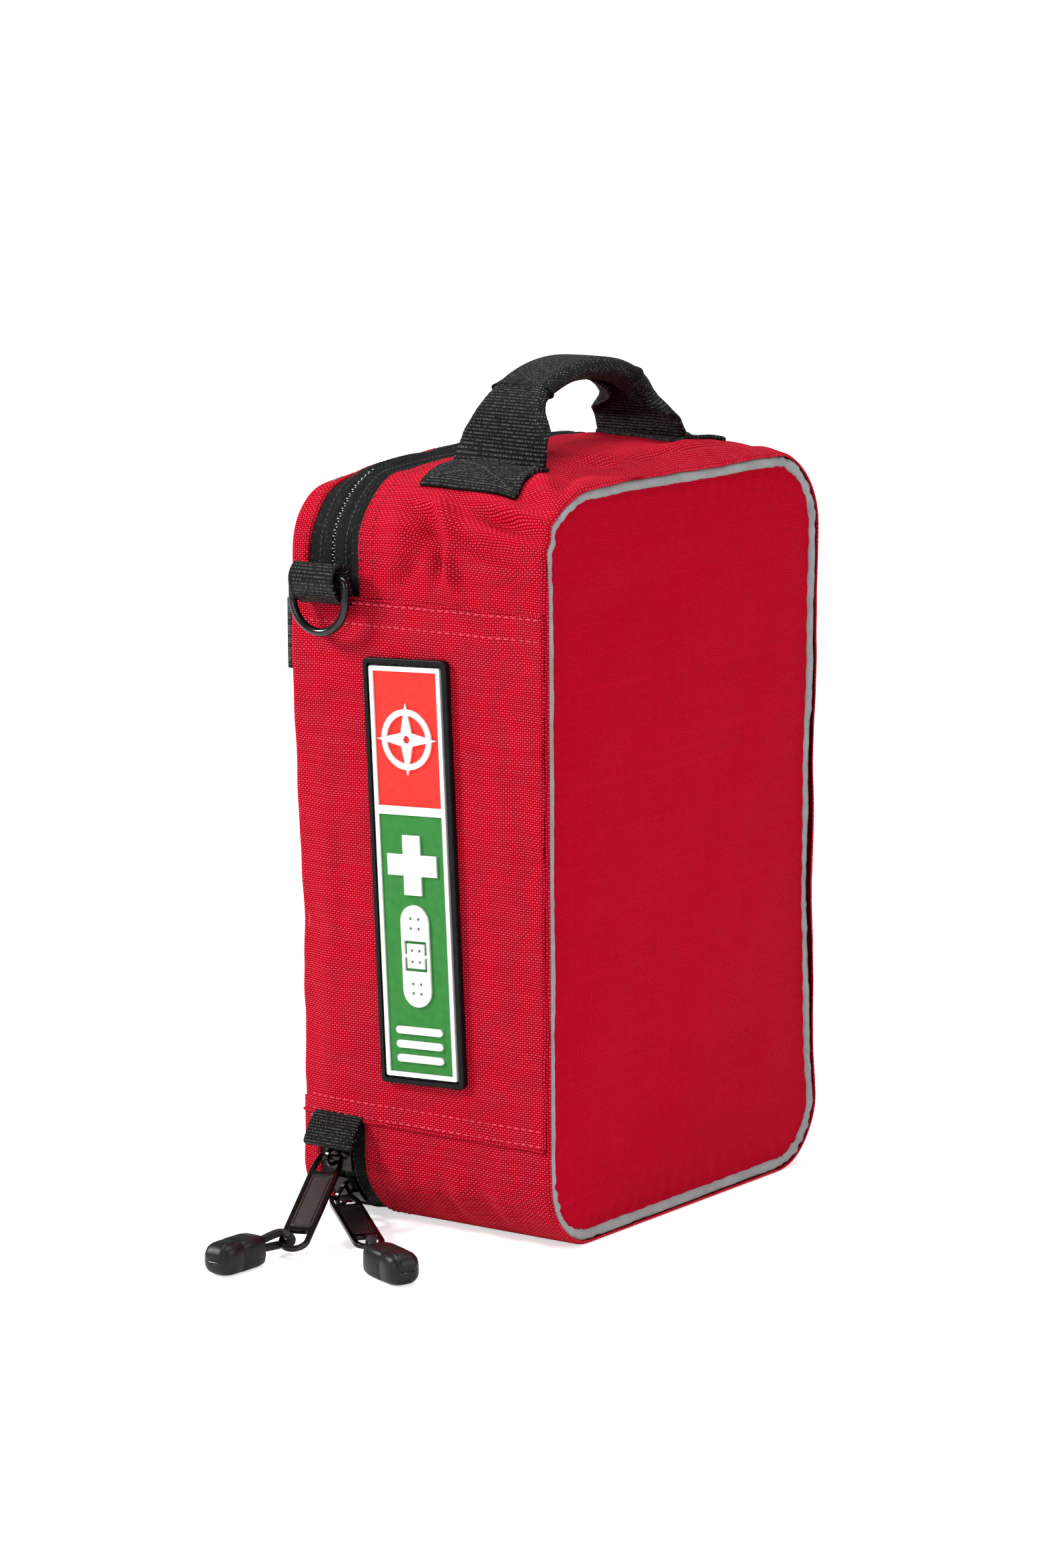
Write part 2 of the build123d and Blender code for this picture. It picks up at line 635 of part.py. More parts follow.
for number, (phi, pull_dir, cord_entry, cord_dir, round_side) in enumerate(SLIDERS, start=1):
    axis_x, axis_z = on_arc(phi, AXIS_R)
    pivot = Vector(axis_x, Y_ZIP, axis_z)
    along = Vector(*pull_dir).normalized()
    across = Vector(along.Y, -along.X, 0).normalized()
    entry = Vector(*cord_entry)
    direction = Vector(*cord_dir).normalized()
    make_slider(number, phi)
    make_crown(number, phi)
    make_pull(number, pivot, along, across)
    make_cord(number, pivot, along, across, entry, direction, round_side)
    make_cord_end(number, entry, direction)

# ------------------------------------------------------------ inner organiser
DIV_W, DIV_H, DIV_R, DIV_Z = 150.0, 236.0, 18.0, 131.5
BINDING_OUT, BINDING_IN = 1.2, 6.0    # how far it reaches past and over the edge
ELASTIC_Y, ELASTIC_T = -14.6, 1.0

with BuildPart() as divider:
    with BuildSketch(xz(-15.7)):
        with Locations((0, DIV_Z)):
            RectangleRounded(DIV_W, DIV_H, DIV_R)
    extrude(amount=0.8)
save(divider.part, "divider")

with BuildPart() as divider_binding:
    with BuildSketch(xz(-14.8)):
        with Locations((0, DIV_Z)):
            RectangleRounded(DIV_W + 2 * BINDING_OUT, DIV_H + 2 * BINDING_OUT, DIV_R + BINDING_OUT)
            RectangleRounded(
                DIV_W - 2 * BINDING_IN, DIV_H - 2 * BINDING_IN, DIV_R - BINDING_IN,
                mode=Mode.SUBTRACT,
            )
    extrude(amount=2.6)
    # groove for the divider's edge
    with BuildSketch(xz(-15.6)):
        with Locations((0, DIV_Z)):
            RectangleRounded(DIV_W + 0.2, DIV_H + 0.2, DIV_R + 0.1)
    extrude(amount=1.0, mode=Mode.SUBTRACT)
save(divider_binding.part, "divider_binding")


def elastic(x0, x1, y_top, z0, z1):
    """A flat band standing over its contents, open towards the divider."""
    inner_y0, inner_y1 = ELASTIC_Y - 0.1, y_top - ELASTIC_T
    with BuildSketch(Plane.XY.offset(z0)) as hat:
        with Locations(((x0 + x1) / 2, (ELASTIC_Y + y_top) / 2)):
            Rectangle(x1 - x0, y_top - ELASTIC_Y)
        with Locations(((x0 + x1) / 2, (inner_y0 + inner_y1) / 2)):
            Rectangle(x1 - x0 - 2 * ELASTIC_T, inner_y1 - inner_y0, mode=Mode.SUBTRACT)
    extrude(hat.sketch, amount=z1 - z0)


with BuildPart() as elastic_bands:
    elastic(-76.4, 54.4, 30.4, 42.0, 62.0)
    elastic(-70.4, -30.4, 26.6, 190.0, 210.0)
save(elastic_bands.part, "elastic_bands")

# ------------------------------------------------------------ packed supplies
with BuildPart() as foil_blanket:
    slab(-72.0, 38.0, -44.5, -22.0, 12.0, 86.0)
    fillet(foil_blanket.edges().filter_by(Axis.Y), 7.0)
    fillet(foil_blanket.faces().sort_by(Axis.Y)[-1].edges(), 4.0)
    fillet(foil_blanket.faces().sort_by(Axis.Y)[0].edges(), 4.0)
save(foil_blanket.part, "foil_blanket")

with BuildPart() as plaster_box:
    slab(-72.0, 28.0, -44.0, -22.0, 94.0, 168.0)
    fillet(plaster_box.edges(), 0.5)
save(plaster_box.part, "plaster_box")

GAUZE_COUNT, GAUZE_Y0, GAUZE_T, GAUZE_PITCH = 5, -46.4, 3.8, 4.3
with BuildPart() as gauze_packs:
    for k in range(GAUZE_COUNT):
        pack_y = GAUZE_Y0 + GAUZE_PITCH * k
        slab(-71.0, 7.0, pack_y, pack_y + GAUZE_T, 175.0, 251.0)
    fillet(gauze_packs.edges().filter_by(Axis.Y), 2.0)
save(gauze_packs.part, "gauze_packs")

with BuildPart() as sling_pack:
    slab(14.0, 75.0, -44.5, -21.0, 171.0, 249.0)
    fillet(sling_pack.edges().filter_by(Axis.Y), 5.0)
    fillet(sling_pack.faces().sort_by(Axis.Y)[-1].edges(), 4.0)
save(sling_pack.part, "sling_pack")

# ------------------------------------------------------------ bandage rolls
ROLL_Y = 7.6
ROLL_CORE_R = 2.6
# x, radius, bottom, top
ROLLS = (
    (-53.5, 21.0, 12.0, 92.0),
    (-9.0, 21.0, 12.0, 92.0),
    (-50.4, 17.0, 170.0, 230.0),
)
with BuildPart() as bandage_rolls:
    for roll_x, roll_r, z0, z1 in ROLLS:
        with BuildSketch(Plane.XY.offset(z0)):
            with Locations((roll_x, ROLL_Y)):
                Circle(roll_r)
                Circle(ROLL_CORE_R, mode=Mode.SUBTRACT)
        extrude(amount=z1 - z0)
    fillet(
        bandage_rolls.edges().filter_by(GeomType.CIRCLE).filter_by(lambda e: e.radius > 10), 2.0
    )
save(bandage_rolls.part, "bandage_rolls")

# ------------------------------------------------------------ bottle
BOTTLE_X, BOTTLE_Y = 34.5, 5.0
CAP_R = 10.4
CAP_Z0, CAP_H = 100.2, 12.6
with BuildPart() as antiseptic_bottle:
    with BuildSketch(Plane.XZ):
        with BuildLine():
            Polyline((0, 12), (15.5, 12), (17, 13.5), (17, 86))
            Spline(
                (17, 86), (15, 92), (9.5, 96.5), (8.0, 99), tangents=((0, 1), (0, 1))
            )
            Polyline(
                (8.0, 99), (8.0, 109), (6.6, 109), (6.6, 97), (15.4, 84), (15.4, 14),
                (0, 14), (0, 12),
            )
        make_face()
    revolve(axis=Axis.Z)
save(antiseptic_bottle.part.moved(Location((BOTTLE_X, BOTTLE_Y, 0))), "antiseptic_bottle")

with BuildPart() as bottle_cap:
    with BuildSketch(Plane.XY.offset(CAP_Z0)):
        with Locations((BOTTLE_X, BOTTLE_Y)):
            Circle(CAP_R)
            with PolarLocations(CAP_R + 0.2, 24):
                Circle(0.5, mode=Mode.SUBTRACT)
    extrude(amount=CAP_H)
    # bore for the bottle's neck
    with BuildSketch(Plane.XY.offset(CAP_Z0 - 0.2)):
        with Locations((BOTTLE_X, BOTTLE_Y)):
            Circle(8.1)
    extrude(amount=9.4, mode=Mode.SUBTRACT)
save(bottle_cap.part, "bottle_cap")

# ------------------------------------------------------------ tape, tweezers
with BuildPart() as plaster_tape:
    with BuildSketch(xz(12.0)):
        with Locations((-46.0, 128.0)):
            Circle(28.0)
            Circle(14.6, mode=Mode.SUBTRACT)
    extrude(amount=25.0)
save(plaster_tape.part, "plaster_tape")

# two springy arms joined at the top; y, z seen from the side
with BuildPart() as tweezers:
    with BuildSketch(Plane.YZ.offset(62.0)):
        with BuildLine():
            Polyline(
                (-2.2, 112.0), (2.2, 112.0), (6.4, 60.0), (1.3, 20.0), (0.25, 18.0),
                (0.25, 21.0), (5.2, 60.0), (1.1, 106.0), (-1.1, 106.0), (-5.2, 60.0),
                (-0.25, 21.0), (-0.25, 18.0), (-1.3, 20.0), (-6.4, 60.0), (-2.2, 112.0),
            )
        make_face()
    extrude(amount=9.0)
save(tweezers.part, "tweezers")

# ------------------------------------------------------------ scissors
# two blades crossed on a rivet
RIVET_X, RIVET_Z = 12.0, 185.0
SCISSORS_Y = -4.0        # front face of the front blade
BLADE_T = 1.6
BLADE_GAP = 0.1
RIVET_R = 2.0
RIVET_HEAD_R, RIVET_HEAD_T = 3.2, 0.8
RIVET_Y0 = SCISSORS_Y - 0.1
RIVET_Y1 = SCISSORS_Y + 2 * BLADE_T + 2 * BLADE_GAP


def make_blade(name, sign, y1, hole_r):
    """A blade with its shank and finger ring; sign -1 mirrors it in x."""
    with BuildPart() as blade:
        with BuildSketch(xz(y1)):
            with Locations((RIVET_X, RIVET_Z)):
                Polygon(
                    (sign * -5.0, -6.0), (sign * 4.6, -8.0), (sign * 5.2, 6.0),
                    (sign * 3.6, 30.0), (sign * -0.4, 52.0), (sign * -1.6, 30.0),
                    (sign * -4.0, 5.0), align=None,
                )
                Polygon(
                    (sign * -5.0, -5.0), (sign * 4.6, -7.0), (sign * -6.0, -46.0),
                    (sign * -11.0, -44.0), align=None,
                )
            with Locations((RIVET_X - sign * 13.0, RIVET_Z - 55.0)):
                Circle(11.6)
                Circle(8.2, mode=Mode.SUBTRACT)
        extrude(amount=BLADE_T)
        with BuildSketch(xz(y1)):
            with Locations((RIVET_X, RIVET_Z)):
                Circle(hole_r)
        extrude(amount=BLADE_T, mode=Mode.SUBTRACT)
    save(blade.part, name)


make_blade("scissors_blade_a", 1, SCISSORS_Y + BLADE_T, RIVET_R + 0.02)
make_blade("scissors_blade_b", -1, SCISSORS_Y + 2 * BLADE_T + BLADE_GAP, RIVET_R + 0.05)

with BuildPart() as scissors_rivet:
    # shank, then a head at each end: back depth, radius, length
    for y, radius, length in (
        (RIVET_Y1, RIVET_R, RIVET_Y1 - RIVET_Y0),
        (RIVET_Y1 + RIVET_HEAD_T, RIVET_HEAD_R, RIVET_HEAD_T),
        (RIVET_Y0, RIVET_HEAD_R, RIVET_HEAD_T),
    ):
        with BuildSketch(xz(y)):
            with Locations((RIVET_X, RIVET_Z)):
                Circle(radius)
        extrude(amount=length)
save(scissors_rivet.part, "scissors_rivet")
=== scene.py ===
"""Soft red zipped first-aid case with its contents, standing on z = 0.

X runs across the width (left is -X), Y through the depth from the front panel (-Y)
to the lid and its back panel (+Y), and Z is up.
Lengths are in millimetres; they become metres where meshes are made.
Places on the soft wall are given by (run, y): run is the distance round the body's
outline seen from the front, from the middle of the left side and going up.
"""
import json
import math

import bmesh
import bpy
import numpy as np
from mathutils import Matrix, Vector


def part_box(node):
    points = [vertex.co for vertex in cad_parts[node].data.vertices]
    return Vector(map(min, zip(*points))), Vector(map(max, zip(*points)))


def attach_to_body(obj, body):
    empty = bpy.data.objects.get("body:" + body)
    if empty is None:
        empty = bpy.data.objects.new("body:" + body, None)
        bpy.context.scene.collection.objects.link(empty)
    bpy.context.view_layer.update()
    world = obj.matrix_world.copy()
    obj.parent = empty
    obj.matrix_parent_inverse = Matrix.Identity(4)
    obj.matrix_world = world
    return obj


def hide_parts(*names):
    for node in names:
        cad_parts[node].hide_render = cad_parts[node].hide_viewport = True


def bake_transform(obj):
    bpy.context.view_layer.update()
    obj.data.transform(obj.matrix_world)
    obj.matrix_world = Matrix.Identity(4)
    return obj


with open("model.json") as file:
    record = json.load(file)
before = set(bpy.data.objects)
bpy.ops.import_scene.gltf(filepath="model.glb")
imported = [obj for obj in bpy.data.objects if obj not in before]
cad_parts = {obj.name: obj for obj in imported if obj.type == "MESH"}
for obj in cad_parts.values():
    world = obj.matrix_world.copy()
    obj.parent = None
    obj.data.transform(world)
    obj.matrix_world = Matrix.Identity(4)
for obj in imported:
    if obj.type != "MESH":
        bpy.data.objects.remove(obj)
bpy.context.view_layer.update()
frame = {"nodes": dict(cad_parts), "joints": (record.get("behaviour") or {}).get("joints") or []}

NODES = frame["nodes"]
JOINTS = {joint["name"]: joint for joint in frame["joints"]}
PI = math.pi


def box_mm(node):
    low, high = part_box(node)
    return np.array(low) * 1000.0, np.array(high) * 1000.0


# ---------------------------------------------------------------- driving sizes
gusset_low, gusset_high = box_mm("side_gusset")
HALF_WIDTH, HEIGHT = gusset_high[0], gusset_high[2]
FRONT_Y, GUSSET_Y = gusset_low[1], gusset_high[1]
CORNER_RADIUS = 26.0
strip_low, strip_high = box_mm("back_strip")
STRIP_Y, BACK_Y = strip_low[1], strip_high[1]
ZIP_Y = box_mm("zip_coil_front")[1][1] + 0.6
panel_low, panel_high = box_mm("side_panel")
PANEL_LOW, PANEL_HIGH = panel_low[2], panel_high[2]
CLOTH_V = 55                                # offset of the wall cloths' V coordinate

QUARTER = PI / 2 * CORNER_RADIUS
TOP_LENGTH = 2 * (HALF_WIDTH - CORNER_RADIUS)
# stretches of the outline in order: name, length
STRETCHES = (
    ("left_upper", HEIGHT / 2 - CORNER_RADIUS), ("top_left", QUARTER), ("top", TOP_LENGTH),
    ("top_right", QUARTER), ("right", HEIGHT - 2 * CORNER_RADIUS), ("bottom_right", QUARTER),
    ("bottom", TOP_LENGTH), ("bottom_left", QUARTER), ("left_lower", HEIGHT / 2 - CORNER_RADIUS),
)
STARTS = np.concatenate([[0], np.cumsum([length for _, length in STRETCHES])])
TOTAL = STARTS[-1]
SPAN = {name: (STARTS[i], STARTS[i + 1]) for i, (name, _) in enumerate(STRETCHES)}


# ---------------------------------------------------------------- number helpers
def lattice(a, b):
    return np.meshgrid(a, b, indexing="ij")


def stack(*parts):
    """Broadcasts coordinates together and joins them on a last axis."""
    return np.stack(np.broadcast_arrays(*parts), -1)


def bell(x, centre, width):
    return np.exp(-((x - centre) / width) ** 2)


def signed_power(value, power):
    return np.copysign(np.abs(value) ** power, value)


def ease(x, stations, values):
    """Interpolation that levels out at every station."""
    x = np.asarray(x, float)
    stations, values = np.asarray(stations, float), np.asarray(values, float)
    i = np.clip(np.searchsorted(stations, x, side="right") - 1, 0, len(stations) - 2)
    t = np.clip((x - stations[i]) / (stations[i + 1] - stations[i]), 0, 1)
    t = t * t * (3 - 2 * t)
    return values[i] * (1 - t) + values[i + 1] * t


def waves(a, b, scale, seed, octaves=3):
    """Smooth seeded noise of two coordinates, about -1 to 1."""
    rng = np.random.default_rng(seed)
    out = np.zeros(np.broadcast(a, b).shape)
    strength, total = 1.0, 0.0
    for octave in range(octaves):
        for _ in range(5):
            angle = rng.uniform(0, 2 * PI)
            rate = 2 * PI / scale * (1.7 ** octave) * rng.uniform(0.7, 1.3)
            turn = rate * (math.cos(angle) * a + math.sin(angle) * b)
            out += strength * np.sin(turn + rng.uniform(0, 2 * PI))
        total += strength * 5 ** 0.5 * 1.3
        strength *= 0.55
    return out / total


def waves_along(run, scale, seed, octaves=2):
    return waves(run, run * 0, scale, seed, octaves)


def fold(a, b, at_a, at_b, degrees, length, width, height):
    """One long soft ridge, or a valley where the height is negative."""
    da, db = a - at_a, b - at_b
    angle = math.radians(degrees)
    lengthwise = da * math.cos(angle) + db * math.sin(angle)
    sideways = -da * math.sin(angle) + db * math.cos(angle)
    return height * np.exp(-(lengthwise / length) ** 2 - (sideways / width) ** 2)


def arc_length(points):
    steps = np.linalg.norm(np.diff(points, axis=0), axis=1)
    return np.concatenate([[0], np.cumsum(steps)])


def at_length(where, lengths, points):
    return np.array([np.interp(where, lengths, points[:, c]) for c in range(3)])


def resample(points, step):
    points = np.asarray(points, float)
    lengths = arc_length(points)
    count = max(int(round(lengths[-1] / step)), 2)
    return at_length(np.linspace(0, lengths[-1], count + 1), lengths, points).T


def catmull(points, at, knots):
    i = np.clip(np.searchsorted(knots, at, side="right") - 1, 0, len(points) - 2)
    f = ((at - knots[i]) / (knots[i + 1] - knots[i]))[:, None]
    before, start = points[np.maximum(i - 1, 0)], points[i]
    end, after = points[i + 1], points[np.minimum(i + 2, len(points) - 1)]
    return 0.5 * ((2 * start) + (-before + end) * f
                  + (2 * before - 5 * start + 4 * end - after) * f ** 2
                  + (-before + 3 * start - 3 * end + after) * f ** 3)


def spline(points, count):
    """A smooth line through evenly weighted points."""
    return catmull(points, np.linspace(0, len(points) - 1, count), np.arange(float(len(points))))


def outline(run, inset=0.0):
    """Points x, z of the body's outline and its outward normals."""
    run = np.mod(np.asarray(run, float), TOTAL)
    x, z, nx, nz = (np.zeros_like(run) for _ in range(4))
    wide, tall, radius = HALF_WIDTH, HEIGHT, CORNER_RADIUS
    arcs = {"top_left": (-wide + radius, tall - radius, PI),
            "top_right": (wide - radius, tall - radius, PI / 2),
            "bottom_right": (wide - radius, radius, 0.0),
            "bottom_left": (-wide + radius, radius, -PI / 2)}
    for i, (name, _) in enumerate(STRETCHES):
        m = (run >= STARTS[i]) & (run <= STARTS[i + 1])
        t = run[m] - STARTS[i]
        if name == "left_upper":
            x[m], z[m], nx[m], nz[m] = -wide, tall / 2 + t, -1, 0
        elif name == "top":
            x[m], z[m], nx[m], nz[m] = -wide + radius + t, tall, 0, 1
        elif name == "right":
            x[m], z[m], nx[m], nz[m] = wide, tall - radius - t, 1, 0
        elif name == "bottom":
            x[m], z[m], nx[m], nz[m] = wide - radius - t, 0, 0, -1
        elif name == "left_lower":
            x[m], z[m], nx[m], nz[m] = -wide, radius + t, -1, 0
        else:
            centre_x, centre_z, start = arcs[name]
            angle = start - t / radius
            x[m], z[m] = centre_x + radius * np.cos(angle), centre_z + radius * np.sin(angle)
            nx[m], nz[m] = np.cos(angle), np.sin(angle)
    return x - nx * inset, z - nz * inset, nx, nz


def wall_normals(run):
    _, _, nx, nz = outline(run)
    return stack(nx, 0.0, nz)


# ---------------------------------------------------------------- mesh helpers
MATERIALS = {}


def make_mesh(name, verts, faces, uv, material, per_loop=False):
    """A smooth mesh from millimetres; uv is per vertex, or per face corner with per_loop."""
    mesh = bpy.data.meshes.new(name)
    mesh.from_pydata((np.asarray(verts, float) / 1000.0).tolist(), [], [tuple(f) for f in faces])
    layer = mesh.uv_layers.new(name="UVMap")
    uv = np.asarray(uv, float)
    if not per_loop:
        corners = np.zeros(len(mesh.loops), np.int32)
        mesh.loops.foreach_get("vertex_index", corners)
        uv = uv[corners]
    layer.data.foreach_set("uv", uv.astype(np.float32).ravel())
    shade_smooth(mesh)
    mesh.update()
    mesh.materials.append(MATERIALS[material])
    return add_object(name, mesh)


def add_object(name, data):
    piece = bpy.data.objects.new(name, data)
    bpy.context.scene.collection.objects.link(piece)
    return piece


def shade_smooth(mesh):
    mesh.polygons.foreach_set("use_smooth", [True] * len(mesh.polygons))


def tidy(piece, merge=False, dissolve=False):
    """Merges doubled points, drops empty faces and turns normals outward."""
    bm = bmesh.new()
    bm.from_mesh(piece.data)
    if merge:
        bmesh.ops.remove_doubles(bm, verts=bm.verts, dist=1e-6)
    if dissolve:
        bmesh.ops.dissolve_degenerate(bm, edges=bm.edges, dist=1e-7)
    bmesh.ops.recalc_face_normals(bm, faces=bm.faces)
    bm.to_mesh(piece.data)
    bm.free()
    shade_smooth(piece.data)
    return piece


CORNER = "corner"


def attach(piece, body, slot=None, *replaced):
    """Says which body a piece moves with and the CAD nodes it replaces; slot is not used.

    A CORNER piece is baked where it stands and moves with no body.
    """
    if body == CORNER:
        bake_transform(piece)
    else:
        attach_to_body(piece, body)
    if replaced:
        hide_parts(*replaced)


def grid_normals(points):
    normals = np.cross(np.gradient(points, axis=0), np.gradient(points, axis=1))
    return normals / np.maximum(np.linalg.norm(normals, axis=-1, keepdims=True), 1e-9)


def sheet(name, points, thick, uv, material, normals=None, flip=False, closed=False):
    """A closed sheet from surface points (n, m, 3) to a second layer against the normals.

    flip turns the normals and the faces over; closed joins the last row to the first.
    """
    n, m = points.shape[:2]
    normals = grid_normals(points) if normals is None else np.asarray(normals, float)
    if flip:
        normals = -normals
    under = points - normals * thick
    verts = np.concatenate([points.reshape(-1, 3), under.reshape(-1, 3)])
    index = np.arange(n * m).reshape(n, m)
    row = np.arange(n if closed else n - 1)
    here, after = index[row], index[(row + 1) % n]
    outer = np.stack([here[:, :-1].ravel(), after[:, :-1].ravel(),
                      after[:, 1:].ravel(), here[:, 1:].ravel()], 1)
    inner = outer[:, [0, 3, 2, 1]] + n * m
    edges = [(here[:, 0], after[:, 0], False), (here[:, -1], after[:, -1], True)]
    if not closed:
        edges += [(index[0, :-1], index[0, 1:], True), (index[-1, :-1], index[-1, 1:], False)]
    sides = []
    for p, q, turned in edges:
        side = np.stack([p, p + n * m, q + n * m, q], 1)
        sides.append(side[:, ::-1] if turned else side)
    faces = np.concatenate([outer, inner] + sides)
    if flip:
        faces = faces[:, ::-1]
    loop_uv = uv.reshape(-1, 2)[faces.ravel() % (n * m)].copy()
    if closed:
        # faces across the join run on past the total instead of back to zero
        us = loop_uv[:, 0].reshape(-1, 4)
        wrap = (us.max(1) - us.min(1)) > TOTAL / 2
        us[wrap] = np.where(us[wrap] < TOTAL / 2, us[wrap] + TOTAL, us[wrap])
        loop_uv[:, 0] = us.ravel()
    return make_mesh(name, verts, faces, loop_uv, material, per_loop=True)


def tube(name, points, radius, material, sides=10, closed=False, section=None, v_step=1.0):
    """A tube along points; radius may vary and section is an optional (sides, 2) shape."""
    points = np.asarray(points, float)
    n = len(points)
    if closed:
        tangent = np.roll(points, -1, 0) - np.roll(points, 1, 0)
    else:
        tangent = np.gradient(points, axis=0)
    tangent /= np.maximum(np.linalg.norm(tangent, axis=1, keepdims=True), 1e-9)
    ref = np.array([0, 0, 1.0]) if abs(tangent[0][2]) < 0.9 else np.array([0, 1.0, 0])
    normal = np.zeros_like(points)
    normal[0] = ref - tangent[0] * (ref @ tangent[0])
    normal[0] /= np.linalg.norm(normal[0])
    for i in range(1, n):
        v = normal[i - 1] - tangent[i] * (normal[i - 1] @ tangent[i])
        normal[i] = v / max(np.linalg.norm(v), 1e-9)
    binormal = np.cross(tangent, normal)
    if section is None:
        angle = np.arange(sides) / sides * 2 * PI
        section = stack(np.cos(angle), np.sin(angle))
    sides = len(section)
    radius = np.broadcast_to(np.reshape(radius, (-1, 1, 1)), (n, 1, 1))
    rings = points[:, None] + radius * (normal[:, None] * section[None, :, :1]
                                        + binormal[:, None] * section[None, :, 1:])
    lengths = arc_length(points)
    index = np.arange(n * sides).reshape(n, sides)
    faces, uv = [], []
    for i in range(n if closed else n - 1):
        j = (i + 1) % n
        u0 = lengths[i]
        u1 = lengths[j] if j else lengths[-1] + np.linalg.norm(points[0] - points[-1])
        for k in range(sides):
            k2 = (k + 1) % sides
            v0, v1 = k * v_step, (k + 1) * v_step
            faces.append((index[i, k], index[i, k2], index[j, k2], index[j, k]))
            uv += [(u0, v0), (u0, v1), (u1, v1), (u1, v0)]
    verts = rings.reshape(-1, 3)
    if not closed:
        for row, turned in ((0, False), (n - 1, True)):
            centre = len(verts)
            verts = np.concatenate([verts, points[row][None]])
            for k in range(sides):
                face = (centre, index[row, (k + 1) % sides], index[row, k])
                faces.append(face[::-1] if turned else face)
                uv += [(lengths[row], 0), (lengths[row], 1), (lengths[row], 1)]
    return make_mesh(name, verts, faces, uv, material, per_loop=True)


def ring_faces(base, rings, sides):
    """Faces joining rings of vertices, then a cap on the first and the last ring."""
    faces = []
    for i in range(rings - 1):
        for k in range(sides):
            k2 = (k + 1) % sides
            low, high = base + i * sides, base + (i + 1) * sides
            faces.append((low + k, high + k, high + k2, low + k2))
    faces.append(tuple(base + k for k in range(sides)))
    faces.append(tuple(base + (rings - 1) * sides + k for k in reversed(range(sides))))
    return faces


def stitches(name, points, normals, material, pitch=2.9, length=2.2, radius=0.33, sink=0.10):
    """A row of thread stitches lying on a surface along points."""
    points = np.asarray(points, float)
    normals = np.broadcast_to(np.asarray(normals, float), points.shape)
    lengths = arc_length(points)
    count = int(lengths[-1] // pitch)
    # rings of one stitch: place along its length, share of the radius
    rings = [(-0.5, 0.15), (-0.38, 0.75), (0.0, 1.0), (0.38, 0.75), (0.5, 0.15)]
    sides = 6
    verts, faces = [], []
    rng = np.random.default_rng(len(points) + count)
    for k in range(count):
        middle = (k + 0.5) * pitch + rng.normal(0, 0.05)
        start = at_length(middle - length / 2, lengths, points)
        end = at_length(middle + length / 2, lengths, points)
        normal = at_length(middle, lengths, normals)
        normal /= max(np.linalg.norm(normal), 1e-9)
        along = end - start
        along /= max(np.linalg.norm(along), 1e-9)
        across = np.cross(along, normal)
        faces += ring_faces(len(verts), len(rings), sides)
        tilt = rng.normal(0, 0.04)
        for f, share in rings:
            rise = radius * 0.6 * (1 - 4 * f * f) - sink
            centre = ((start + end) / 2 + along * (f * length) + normal * rise
                      + across * (tilt * f * length))
            for q in range(sides):
                angle = q / sides * 2 * PI
                spoke = across * math.cos(angle) + normal * math.sin(angle) * 0.8
                verts.append(centre + spoke * radius * share)
    verts = np.array(verts)
    return make_mesh(name, verts, faces, verts[:, :2], material)


